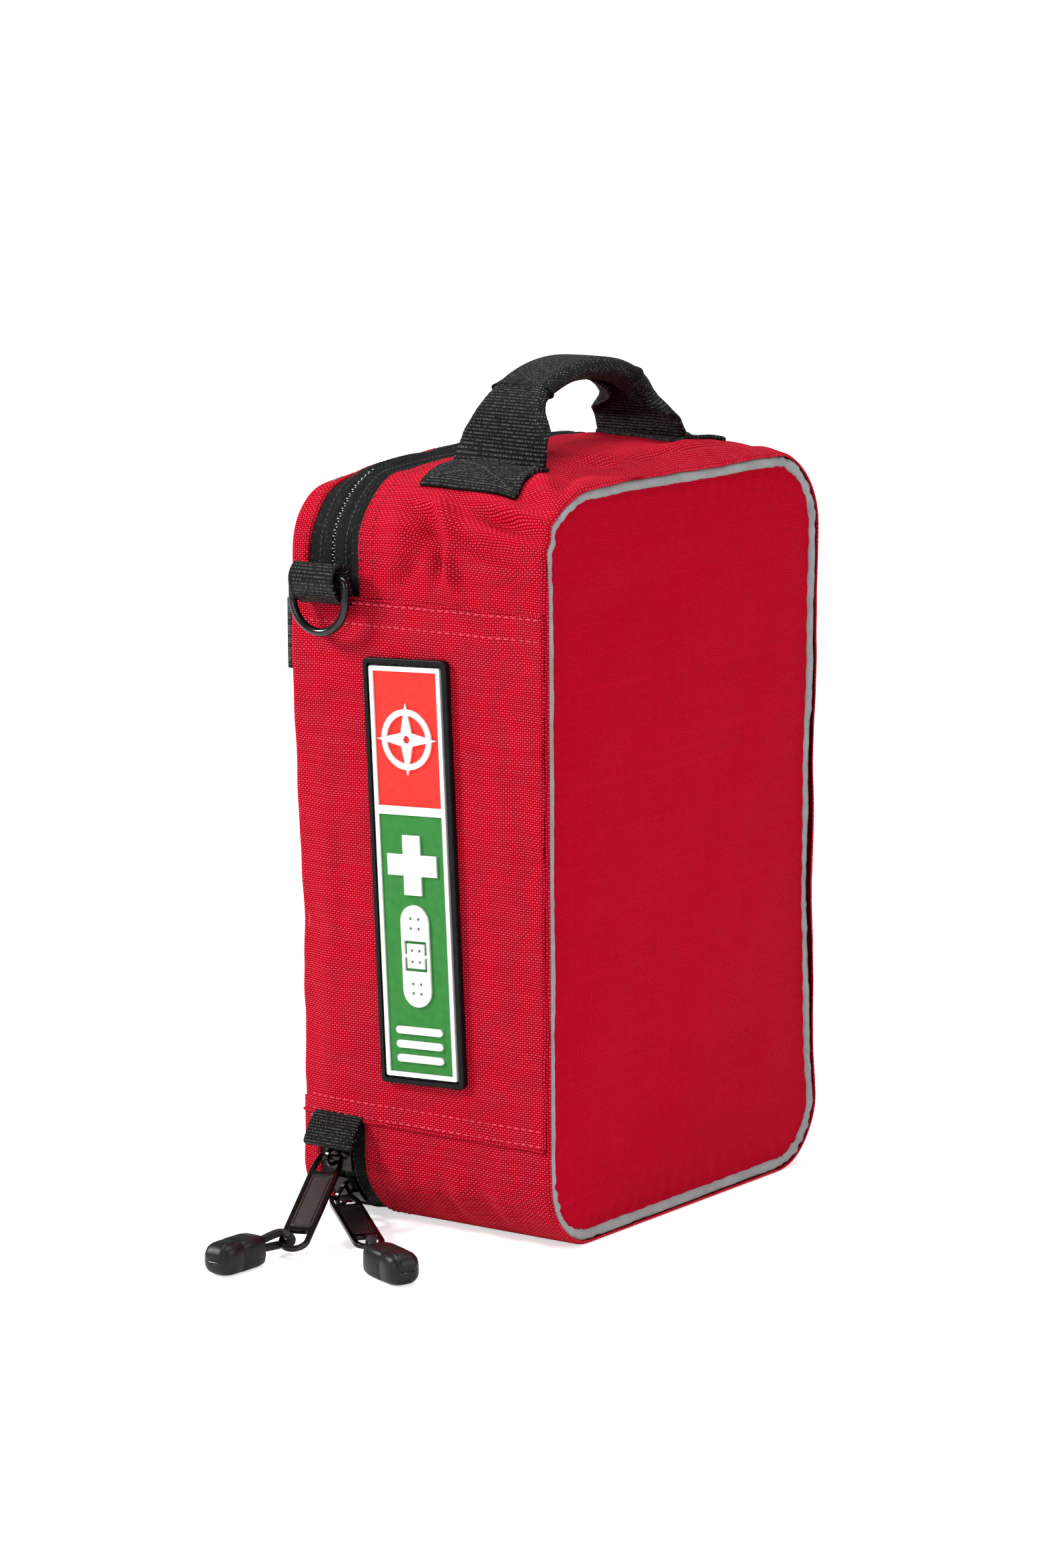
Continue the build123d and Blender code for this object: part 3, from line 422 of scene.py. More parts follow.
# ---------------------------------------------------------------- materials
class Shader:
    """A principled material built from procedural nodes, with coordinates in millimetres."""

    INPUTS = {"color": "Base Color", "rough": "Roughness", "metal": "Metallic",
              "normal": "Normal", "sheen": "Sheen Weight", "sheen_tint": "Sheen Tint",
              "spec": "Specular IOR Level", "coat": "Coat Weight",
              "coat_rough": "Coat Roughness", "glow_color": "Emission Color",
              "glow": "Emission Strength"}

    def __init__(self, name):
        material = bpy.data.materials.new(name)
        material.use_nodes = True
        self.tree = material.node_tree
        self.tree.nodes.clear()
        output = self.node("OutputMaterial", {})
        self.bsdf = self.node("BsdfPrincipled", {})
        self.tree.links.new(self.bsdf.outputs[0], output.inputs[0])
        MATERIALS[name] = material

    def put(self, socket, value):
        if isinstance(value, bpy.types.NodeSocket):
            self.tree.links.new(value, socket)
        elif isinstance(value, tuple) and len(value) == 3 and len(socket.default_value) == 4:
            socket.default_value = value + (1.0,)
        else:
            socket.default_value = value

    def node(self, kind, inputs, **settings):
        node = self.tree.nodes.new("ShaderNode" + kind)
        for key, value in settings.items():
            setattr(node, key, value)
        for socket, value in inputs.items():
            self.put(node.inputs[socket], value)
        return node

    def surface(self, **values):
        for key, value in values.items():
            self.put(self.bsdf.inputs[self.INPUTS[key]], value)

    def calc(self, operation, *values):
        return self.node("Math", dict(enumerate(values)), operation=operation).outputs[0]

    def times(self, a, b):
        return self.calc("MULTIPLY", a, b)

    def hump(self, value):
        """The sine of half a turn over 0 to 1."""
        return self.calc("SINE", self.times(value, PI))

    def cells(self, value, size):
        return self.calc("FRACT", self.calc("DIVIDE", value, size))

    def between(self, value, low, high):
        return self.times(self.calc("GREATER_THAN", value, low),
                          self.calc("LESS_THAN", value, high))

    def mix(self, share, a, b):
        return self.node("Mix", {0: share, 6: a, 7: b}, data_type="RGBA").outputs[2]

    def mix_value(self, share, a, b):
        return self.node("Mix", {0: share, 2: a, 3: b}, data_type="FLOAT").outputs[0]

    def ramp(self, value, span, to=(0.0, 1.0)):
        return self.node("MapRange", dict(enumerate((value, *span, *to))), clamp=True).outputs[0]

    def noise(self, vector, scale, detail=3.0, rough=0.55):
        return self.node("TexNoise", {"Vector": vector, "Scale": scale, "Detail": detail,
                                      "Roughness": rough}).outputs[0]

    def white(self, x, y):
        return self.node("TexWhiteNoise", {0: self.combine(x, y)},
                         noise_dimensions="2D").outputs[0]

    def combine(self, x, y, z=0.0):
        return self.node("CombineXYZ", {0: x, 1: y, 2: z}).outputs[0]

    def cloud(self, u, v, zoom, **noise):
        """Noise over a flat cloth, with u and v scaled by zoom."""
        return self.noise(self.combine(self.times(u, zoom), self.times(v, zoom)), **noise)

    def split(self, vector):
        return self.node("SeparateXYZ", {0: vector}).outputs

    def uv(self):
        parts = self.split(self.node("UVMap", {}, uv_map="UVMap").outputs[0])
        return parts[0], parts[1]

    def place(self):
        """Object coordinates in millimetres."""
        source = self.node("TexCoord", {}).outputs["Object"]
        return self.node("VectorMath", {0: source, 3: 1000.0}, operation="SCALE").outputs[0]

    def bump(self, height, mm, strength=1.0, over=None):
        inputs = {"Strength": strength, "Distance": mm / 1000.0, "Height": height}
        if over is not None:
            inputs["Normal"] = over
        return self.node("Bump", inputs).outputs[0]

    def weave(self, u, v, pitch_u, pitch_v):
        """Plain weave: height, yarn shade, and (checker, u yarn, v yarn) for the painted glint
        dashes.
        """
        a, b = self.calc("DIVIDE", u, pitch_u), self.calc("DIVIDE", v, pitch_v)
        row_a, row_b = self.calc("FLOOR", a), self.calc("FLOOR", b)
        yarn_a, yarn_b = self.hump(self.calc("FRACT", a)), self.hump(self.calc("FRACT", b))
        check = self.calc("PINGPONG", self.calc("ADD", row_a, row_b), 1.0)

        def over(yarn, other):
            return self.times(self.calc("POWER", yarn, 0.6),
                              self.calc("MULTIPLY_ADD", other, 0.5, 0.5))
        height = self.mix_value(check, over(yarn_a, yarn_b), over(yarn_b, yarn_a))
        shade = self.mix_value(check, self.white(row_a, 3.0), self.white(7.0, row_b))
        return height, shade, (check, yarn_a, yarn_b)

    def dashes(self, check, yarn_a, yarn_b):
        """Painted glints: short pale dashes along the yarns, fainter on one set."""
        def dash(yarn, other):
            return self.times(self.calc("POWER", yarn, 2.4), self.calc("POWER", other, 0.45))
        return self.mix_value(check, dash(yarn_a, yarn_b), self.times(dash(yarn_b, yarn_a), 0.40))


MID = (0.3, 0.7)        # the middle spread of a noise value


def srgb(*channels):
    def linear(c):
        c = c / 255.0
        return c / 12.92 if c <= 0.04045 else ((c + 0.055) / 1.055) ** 2.4
    return tuple(linear(c) for c in channels)


def red_cloth(name, pitch, body, dark, painted_glint, painted_glint_amount, bump, check_size=None):
    t = Shader(name)
    u, v = t.uv()
    wobble = t.calc("MULTIPLY_ADD", t.cloud(u, v, zoom=0.02, scale=3.0, detail=1.0), 2.0, -1.0)
    u2, v2 = t.calc("ADD", u, wobble), t.calc("SUBTRACT", v, wobble)
    height, shade, yarns = t.weave(u2, v2, pitch, pitch * 1.12)
    big = t.cloud(u, v, zoom=0.01, scale=5.0, detail=4.0, rough=0.6)
    # painted shade: the colour darkens from the yarn tops into the gaps between yarns
    color = t.mix(t.ramp(height, span=(0.15, 0.85)), dark, body)
    color = t.mix(t.ramp(shade, span=(0.0, 1.0), to=(0.0, 0.16)), color, dark)
    color = t.mix(t.ramp(big, span=(0.35, 0.65), to=(0.0, 0.10)), color, dark)
    # painted glints: pale dashes on the yarn floats stand in for light caught by the yarn
    glint_mask = t.times(t.ramp(t.dashes(*yarns), span=(0.25, 0.9)),
                     t.ramp(shade, span=(0.1, 0.9), to=(0.45, 1.0)))
    color = t.mix(t.times(glint_mask, painted_glint_amount), color, painted_glint)
    relief = height
    if check_size:
        lines = []
        for value in (u2, v2):
            off = t.calc("ABSOLUTE", t.calc("SUBTRACT", t.cells(value, check_size), 0.5))
            lines.append(t.ramp(off, span=(0.42, 0.5)))
        line = t.calc("MAXIMUM", *lines)
        # the ripstop grid is a real pattern, tinted with the painted glint colour
        color = t.mix(t.times(line, 0.06), color, painted_glint)
        relief = t.calc("ADD", height, t.times(line, 0.15))
    t.surface(color=color, rough=t.ramp(height, span=(0.2, 0.9), to=(0.78, 0.52)), spec=0.03,
              normal=t.bump(relief, mm=bump, over=t.bump(big, mm=0.5, strength=0.25)),
              sheen_tint=(1.0, 0.35, 0.42))


def webbing(name, rib, body, dark, light, bump, light_amount):
    t = Shader(name)
    u, v = t.uv()
    across = t.calc("DIVIDE", u, rib)
    yarn = t.hump(t.calc("FRACT", across))
    row = t.calc("FLOOR", across)
    # every other rib is shifted half a step along
    along = t.calc("ADD", t.calc("DIVIDE", v, rib * 0.62),
                   t.times(t.calc("PINGPONG", row, 1.0), 0.5))
    step = t.hump(t.calc("FRACT", along))
    height = t.times(t.calc("POWER", yarn, 0.7),
                     t.calc("MULTIPLY_ADD", t.calc("POWER", step, 0.7), 0.6, 0.4))
    shade = t.white(t.calc("FLOOR", along), row)
    # painted shade: darker in the dips between the ribs
    color = t.mix(t.ramp(height, span=(0.2, 0.8)), dark, body)
    glint = t.times(t.ramp(height, span=(0.75, 1.0)), t.ramp(shade, span=(0.2, 0.9)))
    t.surface(color=t.mix(t.times(glint, light_amount), color, light), rough=0.5,
              normal=t.bump(height, mm=bump), spec=0.14)


def zip_tape_material():
    """Herringbone tape, with painted shade in the dips of the ribs and painted glints: pale specks
    on the yarn tops.
    """
    t = Shader("tape")
    u, v = t.uv()
    yarn = 0.45
    diagonal = t.calc("DIVIDE", t.calc("ADD", u, t.calc("PINGPONG", v, 2.6)), 0.85)
    rib = t.hump(t.calc("FRACT", diagonal))
    fine = t.hump(t.cells(v, yarn))
    height = t.times(rib, t.calc("MULTIPLY_ADD", fine, 0.45, 0.55))
    # painted shade: darker in the dips of the ribs
    color = t.mix(t.ramp(height, span=(0.25, 0.9)), (0.0006, 0.0006, 0.0008),
                  (0.011, 0.0115, 0.0125))
    cell = t.white(t.calc("FLOOR", diagonal), t.calc("FLOOR", t.calc("DIVIDE", v, yarn)))
    # painted glints: rare pale specks, stronger on the rib tops
    painted_glint = t.calc("GREATER_THAN", cell, 0.955)
    color = t.mix(t.times(painted_glint, t.times(height, 0.35)), color, (0.14, 0.145, 0.145))
    t.surface(color=color, rough=0.55, normal=t.bump(height, mm=0.30), spec=0.12)


def coil_materials():
    t = Shader("coil")
    n = t.noise(t.place(), scale=0.6, detail=2.0)
    t.surface(color=t.mix(n, (0.005, 0.005, 0.006), (0.014, 0.014, 0.015)),
              rough=t.ramp(n, MID, to=(0.32, 0.5)), normal=t.bump(n, mm=0.05), spec=0.3)
    # a pale grey copy of the black coil: painted highlight on the loops round the upper corner
    t = Shader("coil_painted_highlight")
    n = t.noise(t.place(), scale=0.9, detail=2.0)
    t.surface(color=t.mix(n, (0.30, 0.31, 0.31), (0.55, 0.56, 0.55)), rough=0.4,
              normal=t.bump(n, mm=0.04))


def thread(name, dark, light):
    t = Shader(name)
    place = t.place()
    x, y, z = t.split(place)
    n = t.noise(place, scale=1.6)
    twist = t.calc("SINE", t.times(t.calc("ADD", t.calc("ADD", x, y), z), 9.0))
    t.surface(color=t.mix(t.ramp(n, span=(0.35, 0.65)), dark, light), rough=0.55,
              normal=t.bump(twist, mm=0.06), sheen=0.05, spec=0.25)


def piping_material():
    t = Shader("piping")
    place = t.place()
    n = t.noise(place, scale=0.12, detail=4.0, rough=0.6)
    fine = t.noise(place, scale=6.0, detail=2.0)
    t.surface(color=t.mix(t.ramp(n, span=(0.35, 0.7)), srgb(136, 138, 139), srgb(156, 158, 159)),
              rough=t.ramp(fine, MID, to=(0.5, 0.62)), metal=0.12, spec=0.5,
              normal=t.bump(fine, mm=0.03, strength=0.6, over=t.bump(n, mm=0.6, strength=0.5)))


def rubber(name, a, b, rough):
    """Matt rubber with sparse dust specks."""
    t = Shader(name)
    place = t.place()
    n = t.noise(place, scale=0.35, detail=4.0)
    fine = t.noise(place, scale=5.0)
    dust = t.ramp(t.noise(place, scale=2.3, detail=1.0), span=(0.76, 0.80))
    color = t.mix(t.times(dust, 0.12), t.mix(t.ramp(n, MID), a, b), (0.9, 0.9, 0.88))
    t.surface(color=color, rough=t.ramp(n, MID, to=(rough - 0.05, rough + 0.07)),
              normal=t.bump(fine, mm=0.05, strength=0.5), spec=0.14, coat_rough=0.4)


def metal_materials():
    t = Shader("wire_black")
    n = t.noise(t.place(), scale=0.25)
    t.surface(color=t.mix(n, (0.002, 0.002, 0.002), (0.005, 0.005, 0.005)),
              rough=t.ramp(n, MID, to=(0.12, 0.2)), spec=0.5,
              normal=t.bump(n, mm=0.05, strength=0.3))

    t = Shader("black_nickel")
    place = t.place()
    n, fine = t.noise(place, scale=0.3, detail=4.0), t.noise(place, scale=3.0)
    t.surface(color=t.mix(t.ramp(n, span=(0.4, 0.7)), (0.030, 0.030, 0.030),
                          (0.062, 0.054, 0.048)),
              metal=1.0, rough=t.ramp(fine, MID, to=(0.14, 0.24)),
              normal=t.bump(n, mm=0.08, strength=0.4))

    t = Shader("nickel_sunk")
    n = t.noise(t.place(), scale=1.3, detail=4.0, rough=0.7)
    t.surface(color=t.mix(n, (0.085, 0.082, 0.080), (0.15, 0.142, 0.136)), metal=1.0,
              rough=t.ramp(n, MID, to=(0.28, 0.45)), normal=t.bump(n, mm=0.10, strength=0.7))

    t = Shader("steel")
    x, y, z = t.split(t.place())
    brushed = t.combine(t.times(x, 4.0), t.times(y, 4.0), t.times(z, 0.25))
    n = t.noise(brushed, scale=1.0)
    t.surface(color=t.mix(n, (0.50, 0.50, 0.50), (0.66, 0.66, 0.66)), metal=1.0,
              rough=t.ramp(n, MID, to=(0.24, 0.38)), normal=t.bump(n, mm=0.03))


def cord_material():
    """Braid: two crossing diagonals."""
    t = Shader("cord")
    u, v = t.uv()
    strands = []
    for direction in ("ADD", "SUBTRACT"):
        diagonal = t.calc(direction, t.calc("DIVIDE", u, 0.9), t.times(v, 0.25))
        strands.append(t.hump(t.calc("FRACT", diagonal)))
    height = t.calc("MAXIMUM", *strands)
    # painted shade: dark between the strands, lighter on their crowns
    t.surface(color=t.mix(t.ramp(height, span=(0.55, 1.0)), (0.0015, 0.0015, 0.0015),
                          (0.022, 0.022, 0.022)),
              rough=0.55, normal=t.bump(height, mm=0.5), spec=0.3)


def moulding_material():
    t = Shader("moulding")
    place = t.place()
    n, fine = t.noise(place, scale=0.3), t.noise(place, scale=4.5)
    t.surface(color=t.mix(n, (0.003, 0.003, 0.0033), (0.006, 0.006, 0.0064)),
              rough=t.ramp(n, MID, to=(0.30, 0.40)), normal=t.bump(fine, mm=0.06), spec=0.28)


def cloth(name, dark, light, pitch, bump, rough):
    t = Shader(name)
    u, v = t.uv()
    height, shade, _ = t.weave(u, v, pitch, pitch)
    big = t.cloud(u, v, zoom=0.02, scale=4.0)
    # painted shade: darker from the yarn tops into the gaps between yarns
    color = t.mix(t.ramp(height, span=(0.1, 0.9)), dark, light)
    color = t.mix(t.ramp(shade, span=(0, 1), to=(0, 0.15)), color, dark)
    color = t.mix(t.ramp(big, MID, to=(0, 0.12)), color, dark)
    t.surface(color=color, rough=rough, sheen=0.2,
              normal=t.bump(height, mm=bump, over=t.bump(big, mm=0.6, strength=0.3)))


def paper(name, a, b, rough, band=None, coat=0.0):
    """Paper, card or plastic; band is (colour, low z, high z) of a printed stripe."""
    t = Shader(name)
    place = t.place()
    n = t.noise(place, scale=0.05, detail=5.0, rough=0.65)
    fine = t.noise(place, scale=1.5, detail=4.0)
    color = t.mix(t.ramp(n, MID), a, b)
    if band:
        color = t.mix(t.between(t.split(place)[2], *band[1:]), color, band[0])
    t.surface(color=color, rough=rough, coat=coat, coat_rough=0.15,
              normal=t.bump(fine, mm=0.05, strength=0.6, over=t.bump(n, mm=1.2, strength=0.2)))


def film_materials():
    t = Shader("foil")
    place = t.place()
    n = t.noise(place, scale=0.09, detail=6.0, rough=0.7)
    fine = t.noise(place, scale=0.5, detail=4.0, rough=0.7)
    t.surface(color=t.mix(n, (0.70, 0.58, 0.30), (0.86, 0.76, 0.48)), metal=0.85,
              rough=t.ramp(fine, MID, to=(0.2, 0.42)),
              normal=t.bump(fine, mm=0.8, strength=0.7, over=t.bump(n, mm=2.0, strength=0.8)))

    t = Shader("clear_wrap")
    place = t.place()
    n = t.noise(place, scale=0.07, detail=5.0, rough=0.7)
    fine = t.noise(place, scale=0.4, detail=4.0, rough=0.7)
    t.surface(color=t.mix(n, (0.66, 0.64, 0.58), (0.82, 0.80, 0.75)),
              rough=t.ramp(fine, MID, to=(0.15, 0.35)), coat=0.7, coat_rough=0.1,
              normal=t.bump(fine, mm=0.6, strength=0.6, over=t.bump(n, mm=1.5, strength=0.6)))


def amber_material():
    """Brown bottle with a pale label band."""
    t = Shader("amber")
    place = t.place()
    n = t.noise(place, scale=0.2)
    label = t.between(t.split(place)[2], low=30.0, high=76.0)
    brown = t.mix(n, (0.36, 0.13, 0.03), (0.46, 0.18, 0.05))
    t.surface(color=t.mix(label, brown, (0.84, 0.86, 0.84)),
              rough=t.ramp(n, MID, to=(0.25, 0.35)), coat=0.3,
              normal=t.bump(n, mm=0.1, strength=0.4))


def floor_material():
    """White floor that glows to the camera only, fully white far away."""
    t = Shader("floor")
    place = t.place()
    x, y, _ = t.split(place)
    n = t.noise(place, scale=0.01)
    away = t.calc("SQRT", t.calc("ADD", t.times(x, x), t.times(y, y)))
    far = t.ramp(away, span=(300.0, 1300.0), to=(0.58, 1.0))
    seen = t.node("LightPath", {}).outputs["Is Camera Ray"]
    t.surface(color=t.mix(n, (0.90, 0.90, 0.90), (0.92, 0.92, 0.92)), rough=0.8, spec=0.1,
              normal=t.bump(n, mm=0.02, strength=0.1), glow_color=(1.0, 1.0, 1.0),
              glow=t.times(seen, far))


def build_materials():
    # the pale pink colours given for the yarn dashes are painted glints, light caught by the yarn
    # floats
    red_cloth("red_gusset", pitch=0.80, body=srgb(212, 0, 36), dark=srgb(92, 0, 12),
              painted_glint=srgb(255, 104, 128), painted_glint_amount=0.60, bump=0.30)
    red_cloth("red_front", pitch=0.66, body=srgb(203, 0, 38), dark=srgb(134, 0, 22),
              painted_glint=srgb(236, 18, 60), painted_glint_amount=0.22, bump=0.16, check_size=5.6)
    webbing("web_black", rib=1.15, body=(0.007, 0.0072, 0.0075), dark=(0.0008, 0.0008, 0.0008),
            light=(0.26, 0.28, 0.25), bump=0.45, light_amount=0.55)
    webbing("web_fine", rib=0.75, body=(0.007, 0.007, 0.0075), dark=(0.001, 0.001, 0.001),
            light=(0.10, 0.11, 0.10), bump=0.30, light_amount=0.25)
    zip_tape_material()
    coil_materials()
    # name, dark, light
    for row in (("thread_red", srgb(200, 24, 54), srgb(240, 78, 104)),
                ("thread_dark", srgb(92, 0, 14), srgb(136, 4, 28)),
                ("thread_black", (0.010, 0.010, 0.011), (0.045, 0.046, 0.048)),
                ("thread_grey", (0.035, 0.035, 0.035), (0.12, 0.12, 0.12)),
                ("thread_pale", (0.07, 0.07, 0.07), (0.20, 0.20, 0.20))):
        thread(*row)
    piping_material()
    # name, two tints, roughness
    for row in (("rubber_black", (0.003, 0.003, 0.003), (0.006, 0.006, 0.006), 0.40),
                ("rubber_white", srgb(228, 228, 224), srgb(240, 240, 237), 0.5),
                ("rubber_red", srgb(236, 44, 38), srgb(243, 54, 46), 0.55),
                ("rubber_green", srgb(44, 116, 50), srgb(54, 126, 58), 0.55)):
        rubber(*row)
    metal_materials()
    cord_material()
    moulding_material()
    # name, dark, light, yarn pitch, bump, roughness
    for row in (("lining_grey", (0.10, 0.10, 0.105), (0.17, 0.17, 0.178), 0.5, 0.1, 0.8),
                ("lining_red", srgb(120, 4, 22), srgb(176, 10, 38), 0.55, 0.1, 0.8),
                ("gauze", (0.62, 0.60, 0.54), (0.84, 0.82, 0.77), 0.95, 0.3, 0.9),
                ("plaster_skin", (0.55, 0.38, 0.26), (0.74, 0.54, 0.40), 0.5, 0.12, 0.8),
                ("elastic_black", (0.010, 0.010, 0.010), (0.04, 0.04, 0.04), 0.8, 0.3, 0.75),
                ("binding_black", (0.008, 0.008, 0.008), (0.035, 0.035, 0.036), 0.7, 0.25, 0.75),
                ("net_black", (0.006, 0.006, 0.006), (0.03, 0.03, 0.03), 0.4, 0.1, 0.7),
                ("tri_cotton", (0.70, 0.69, 0.65), (0.86, 0.85, 0.82), 0.8, 0.2, 0.9)):
        cloth(*row)
    paper("carton", srgb(226, 232, 228), srgb(238, 242, 238), rough=0.6,
          band=(srgb(46, 132, 96), 134.0, 150.0))
    paper("sachet", srgb(226, 232, 236), srgb(242, 245, 247), rough=0.45,
          band=(srgb(60, 120, 170), 229.0, 236.0), coat=0.2)
    paper("leaflet_paper", srgb(232, 232, 226), srgb(244, 244, 240), rough=0.75,
          band=(srgb(60, 130, 70), 138.0, 158.0))
    paper("cap_plastic", srgb(228, 230, 230), srgb(240, 242, 242), rough=0.35)
    paper("stiff_sheet", srgb(215, 215, 210), srgb(228, 228, 224), rough=0.6)
    paper("foam_grey", (0.30, 0.30, 0.30), (0.42, 0.42, 0.42), rough=0.9)
    film_materials()
    amber_material()
    floor_material()


# ---------------------------------------------------------------- soft body simulation
CLOTH_SETTINGS = dict(
    quality=6, mass=0.25, tension_stiffness=18, compression_stiffness=12, shear_stiffness=8,
    bending_stiffness=0.4, tension_damping=12, compression_damping=12, shear_damping=12,
    air_damping=2.0, vertex_group_mass="pin", pin_stiffness=1.0, use_pressure=True,
    uniform_pressure_force=4.0, shrink_min=-0.012)
SIM_FRAMES = 20
SIM_STEP, SIM_STEP_Y = 5.0, 4.95
MOVE_LIMIT = 7.0
RING_SHARES = np.linspace(1, 0, 18)[1:]     # rings of the front and back, shrinking to a centre


def shell_mesh(runs, ys):
    """A closed box of the body's size: its wall, then the front, then the back."""
    count = len(runs)
    run, y = lattice(runs, ys)
    x, z, _, _ = outline(run)
    verts = [tuple(v) for v in stack(x, y, z).reshape(-1, 3)]
    index = np.arange(count * len(ys)).reshape(count, len(ys))
    faces = []
    for i in range(count):
        j = (i + 1) % count
        for k in range(len(ys) - 1):
            faces.append((index[i, k], index[i, k + 1], index[j, k + 1], index[j, k]))
    middle_z = HEIGHT / 2
    for row, end_y, turned in ((0, FRONT_Y, False), (len(ys) - 1, BACK_Y, True)):
        ring = index[:, row]
        for share in RING_SHARES[:-1]:
            inner = len(verts) + np.arange(count)
            for i in range(count):
                verts.append((x[i, 0] * share, end_y, middle_z + (z[i, 0] - middle_z) * share))
            for i in range(count):
                j = (i + 1) % count
                face = (ring[i], ring[j], inner[j], inner[i])
                faces.append(face[::-1] if turned else face)
            ring = inner
        centre = len(verts)
        verts.append((0.0, end_y, middle_z))
        for i in range(count):
            face = (ring[i], ring[(i + 1) % count], centre)
            faces.append(face[::-1] if turned else face)
    return np.array(verts), faces, index


def pin_weights(verts, index):
    """Seams, floor and the stiffened left side are held; the zip line is held in part."""
    x, y, z = verts.T
    weight = np.zeros(len(verts))
    weight[index[:, [0, -1]].ravel()] = 1.0
    stiff = (x < -HALF_WIDTH + 0.5) & (z > 36) & (z < 228)
    for held, amount in ((z < 1.0, 0.95), (stiff, 0.9), (np.abs(y - ZIP_Y) < 3.0, 0.6)):
        weight = np.maximum(weight, np.where(held, amount, 0))
    return weight


def soften(grid):
    """Averages the inner points of a grid with their neighbours."""
    out = grid.copy()
    out[1:-1, 1:-1] = (grid[1:-1, 1:-1] * 4 + grid[:-2, 1:-1] + grid[2:, 1:-1]
                       + grid[1:-1, :-2] + grid[1:-1, 2:]) / 8
    return out


def simulate_shell():
    """Inflates the box as cloth; returns (ys, wall swell) and the front's (rings, centre)."""
    count = int(TOTAL // SIM_STEP)
    ys = np.arange(FRONT_Y, BACK_Y + 0.1, SIM_STEP_Y)
    runs = np.arange(count) / count * TOTAL
    rest, faces, index = shell_mesh(runs, ys)
    mesh = bpy.data.meshes.new("soft_shell")
    mesh.from_pydata((rest / 1000.0).tolist(), [], faces)
    mesh.update()
    shell = add_object("soft_shell", mesh)
    group = shell.vertex_groups.new(name="pin")
    for i, weight in enumerate(pin_weights(rest, index)):
        if weight > 0:
            group.add([i], float(weight), "REPLACE")
    modifier = shell.modifiers.new("Cloth", "CLOTH")
    for key, value in CLOTH_SETTINGS.items():
        setattr(modifier.settings, key, value)
    modifier.settings.effector_weights.gravity = 0
    modifier.collision_settings.use_collision = False
    modifier.point_cache.frame_start, modifier.point_cache.frame_end = 1, SIM_FRAMES
    scene = bpy.context.scene
    for number in range(1, SIM_FRAMES + 1):
        scene.frame_set(number)
    evaluated = shell.evaluated_get(bpy.context.evaluated_depsgraph_get())
    result = evaluated.to_mesh()
    moved = np.zeros(len(result.vertices) * 3)
    result.vertices.foreach_get("co", moved)
    evaluated.to_mesh_clear()
    scene.frame_set(1)
    bpy.data.objects.remove(shell)
    bpy.data.meshes.remove(mesh)

    move = moved.reshape(-1, 3) * 1000.0 - rest
    size = np.linalg.norm(move, axis=1, keepdims=True)
    move = move * np.minimum(1.0, MOVE_LIMIT / np.maximum(size, 1e-6))
    wall_count = count * len(ys)
    wall = move[:wall_count].reshape(count, len(ys), 3)
    _, _, nx, nz = outline(lattice(runs, ys)[0])
    out = wall[..., 0] * nx + wall[..., 2] * nz
    out = soften(soften(np.concatenate([out, out[:1]], 0)))
    ends = move[wall_count:, 1]
    middle = len(ends) // 2 - 1
    front = ends[:middle].reshape(-1, count), ends[middle]
    return (ys, np.clip(out, -2.0, 2.0) * 0.55), front


build_materials()
WALL_SWELL = FRONT_SWELL = None
WALL_SWELL, FRONT_SWELL = simulate_shell()


# ---------------------------------------------------------------- shape of the soft wall
# dome of the top under the handle: ys, heights
TOP_DOME = ((-54.5, -48, -34, -12, 5, 16, 25.5, 36, 42, 47, 54.5),
            (2.0, 3.6, 7.0, 9.0, 8.2, 5.9, 4.3, 5.4, 4.9, 2.3, 0.2))
# fullness of the right side: ys, heights
RIGHT_FULL = ((-54.5, -50, -42, -20, 20, 54.5), (0.3, 2.3, 3.2, 2.9, 2.2, 0.3))
# folds round the upper left corner: run, y, degrees, length, width, height before the gain
UPPER_FOLD_GAIN = 2.2
UPPER_FOLDS = (
    (120.5, -11.5, 42, 8.0, 3.2, 2.3), (118.4, -4.5, 50, 8.0, 4.0, -1.9),
    (101.6, -14.7, 12, 13.0, 3.0, 2.0), (104.7, -9.4, -8, 10.0, 2.6, -1.6),
    (100.0, 5.0, -37, 7.0, 3.0, -1.5), (115.8, 6.5, 0, 11.0, 7.0, 1.9),
    (125.8, -5.0, 71, 9.0, 2.8, 1.6), (122.5, 5.5, 60, 6.0, 3.5, -1.6),
    (126.5, -37.0, 77, 18.0, 2.7, 1.5), (121.5, -35.0, 77, 18.0, 2.7, -1.5),
    (116.5, -34.0, 80, 15.0, 2.6, 1.2), (111.5, -32.0, 84, 13.0, 2.6, -1.0),
    (106.0, -33.0, 86, 12.0, 3.0, 0.8), (133.5, -36.0, 60, 14.0, 3.4, -1.2),
    (140.0, -42.0, 48, 14.0, 3.2, 1.1), (149.0, -44.0, 25, 16.0, 3.2, -1.1),
    (225.0, -45.5, 0, 46.0, 3.2, 1.3), (205.0, -38.5, -2, 34.0, 4.2, -1.7),
    (182.0, -33.0, -22, 12.0, 3.6, 1.2), (244.0, -33.0, 8, 24.0, 5.0, 1.1),
    (262.0, -25.0, 20, 16.0, 4.0, -1.1), (196.0, 14.0, 4, 30.0, 4.5, -0.9),
    (215.0, 6.0, 0, 34.0, 5.0, 0.7),
)
# folds at the lower left corner: run past its start, y, degrees, length, width, height
LOWER_FOLDS = (
    (24, -16.0, 6, 16.0, 3.4, 1.3), (20, -9.0, 4, 15.0, 3.2, -1.3),
    (25, -27.0, 10, 15.0, 3.6, -1.1), (22, -35.0, 14, 14.0, 3.6, 1.1),
    (30, 8.0, 20, 8.0, 3.0, 0.9),
)


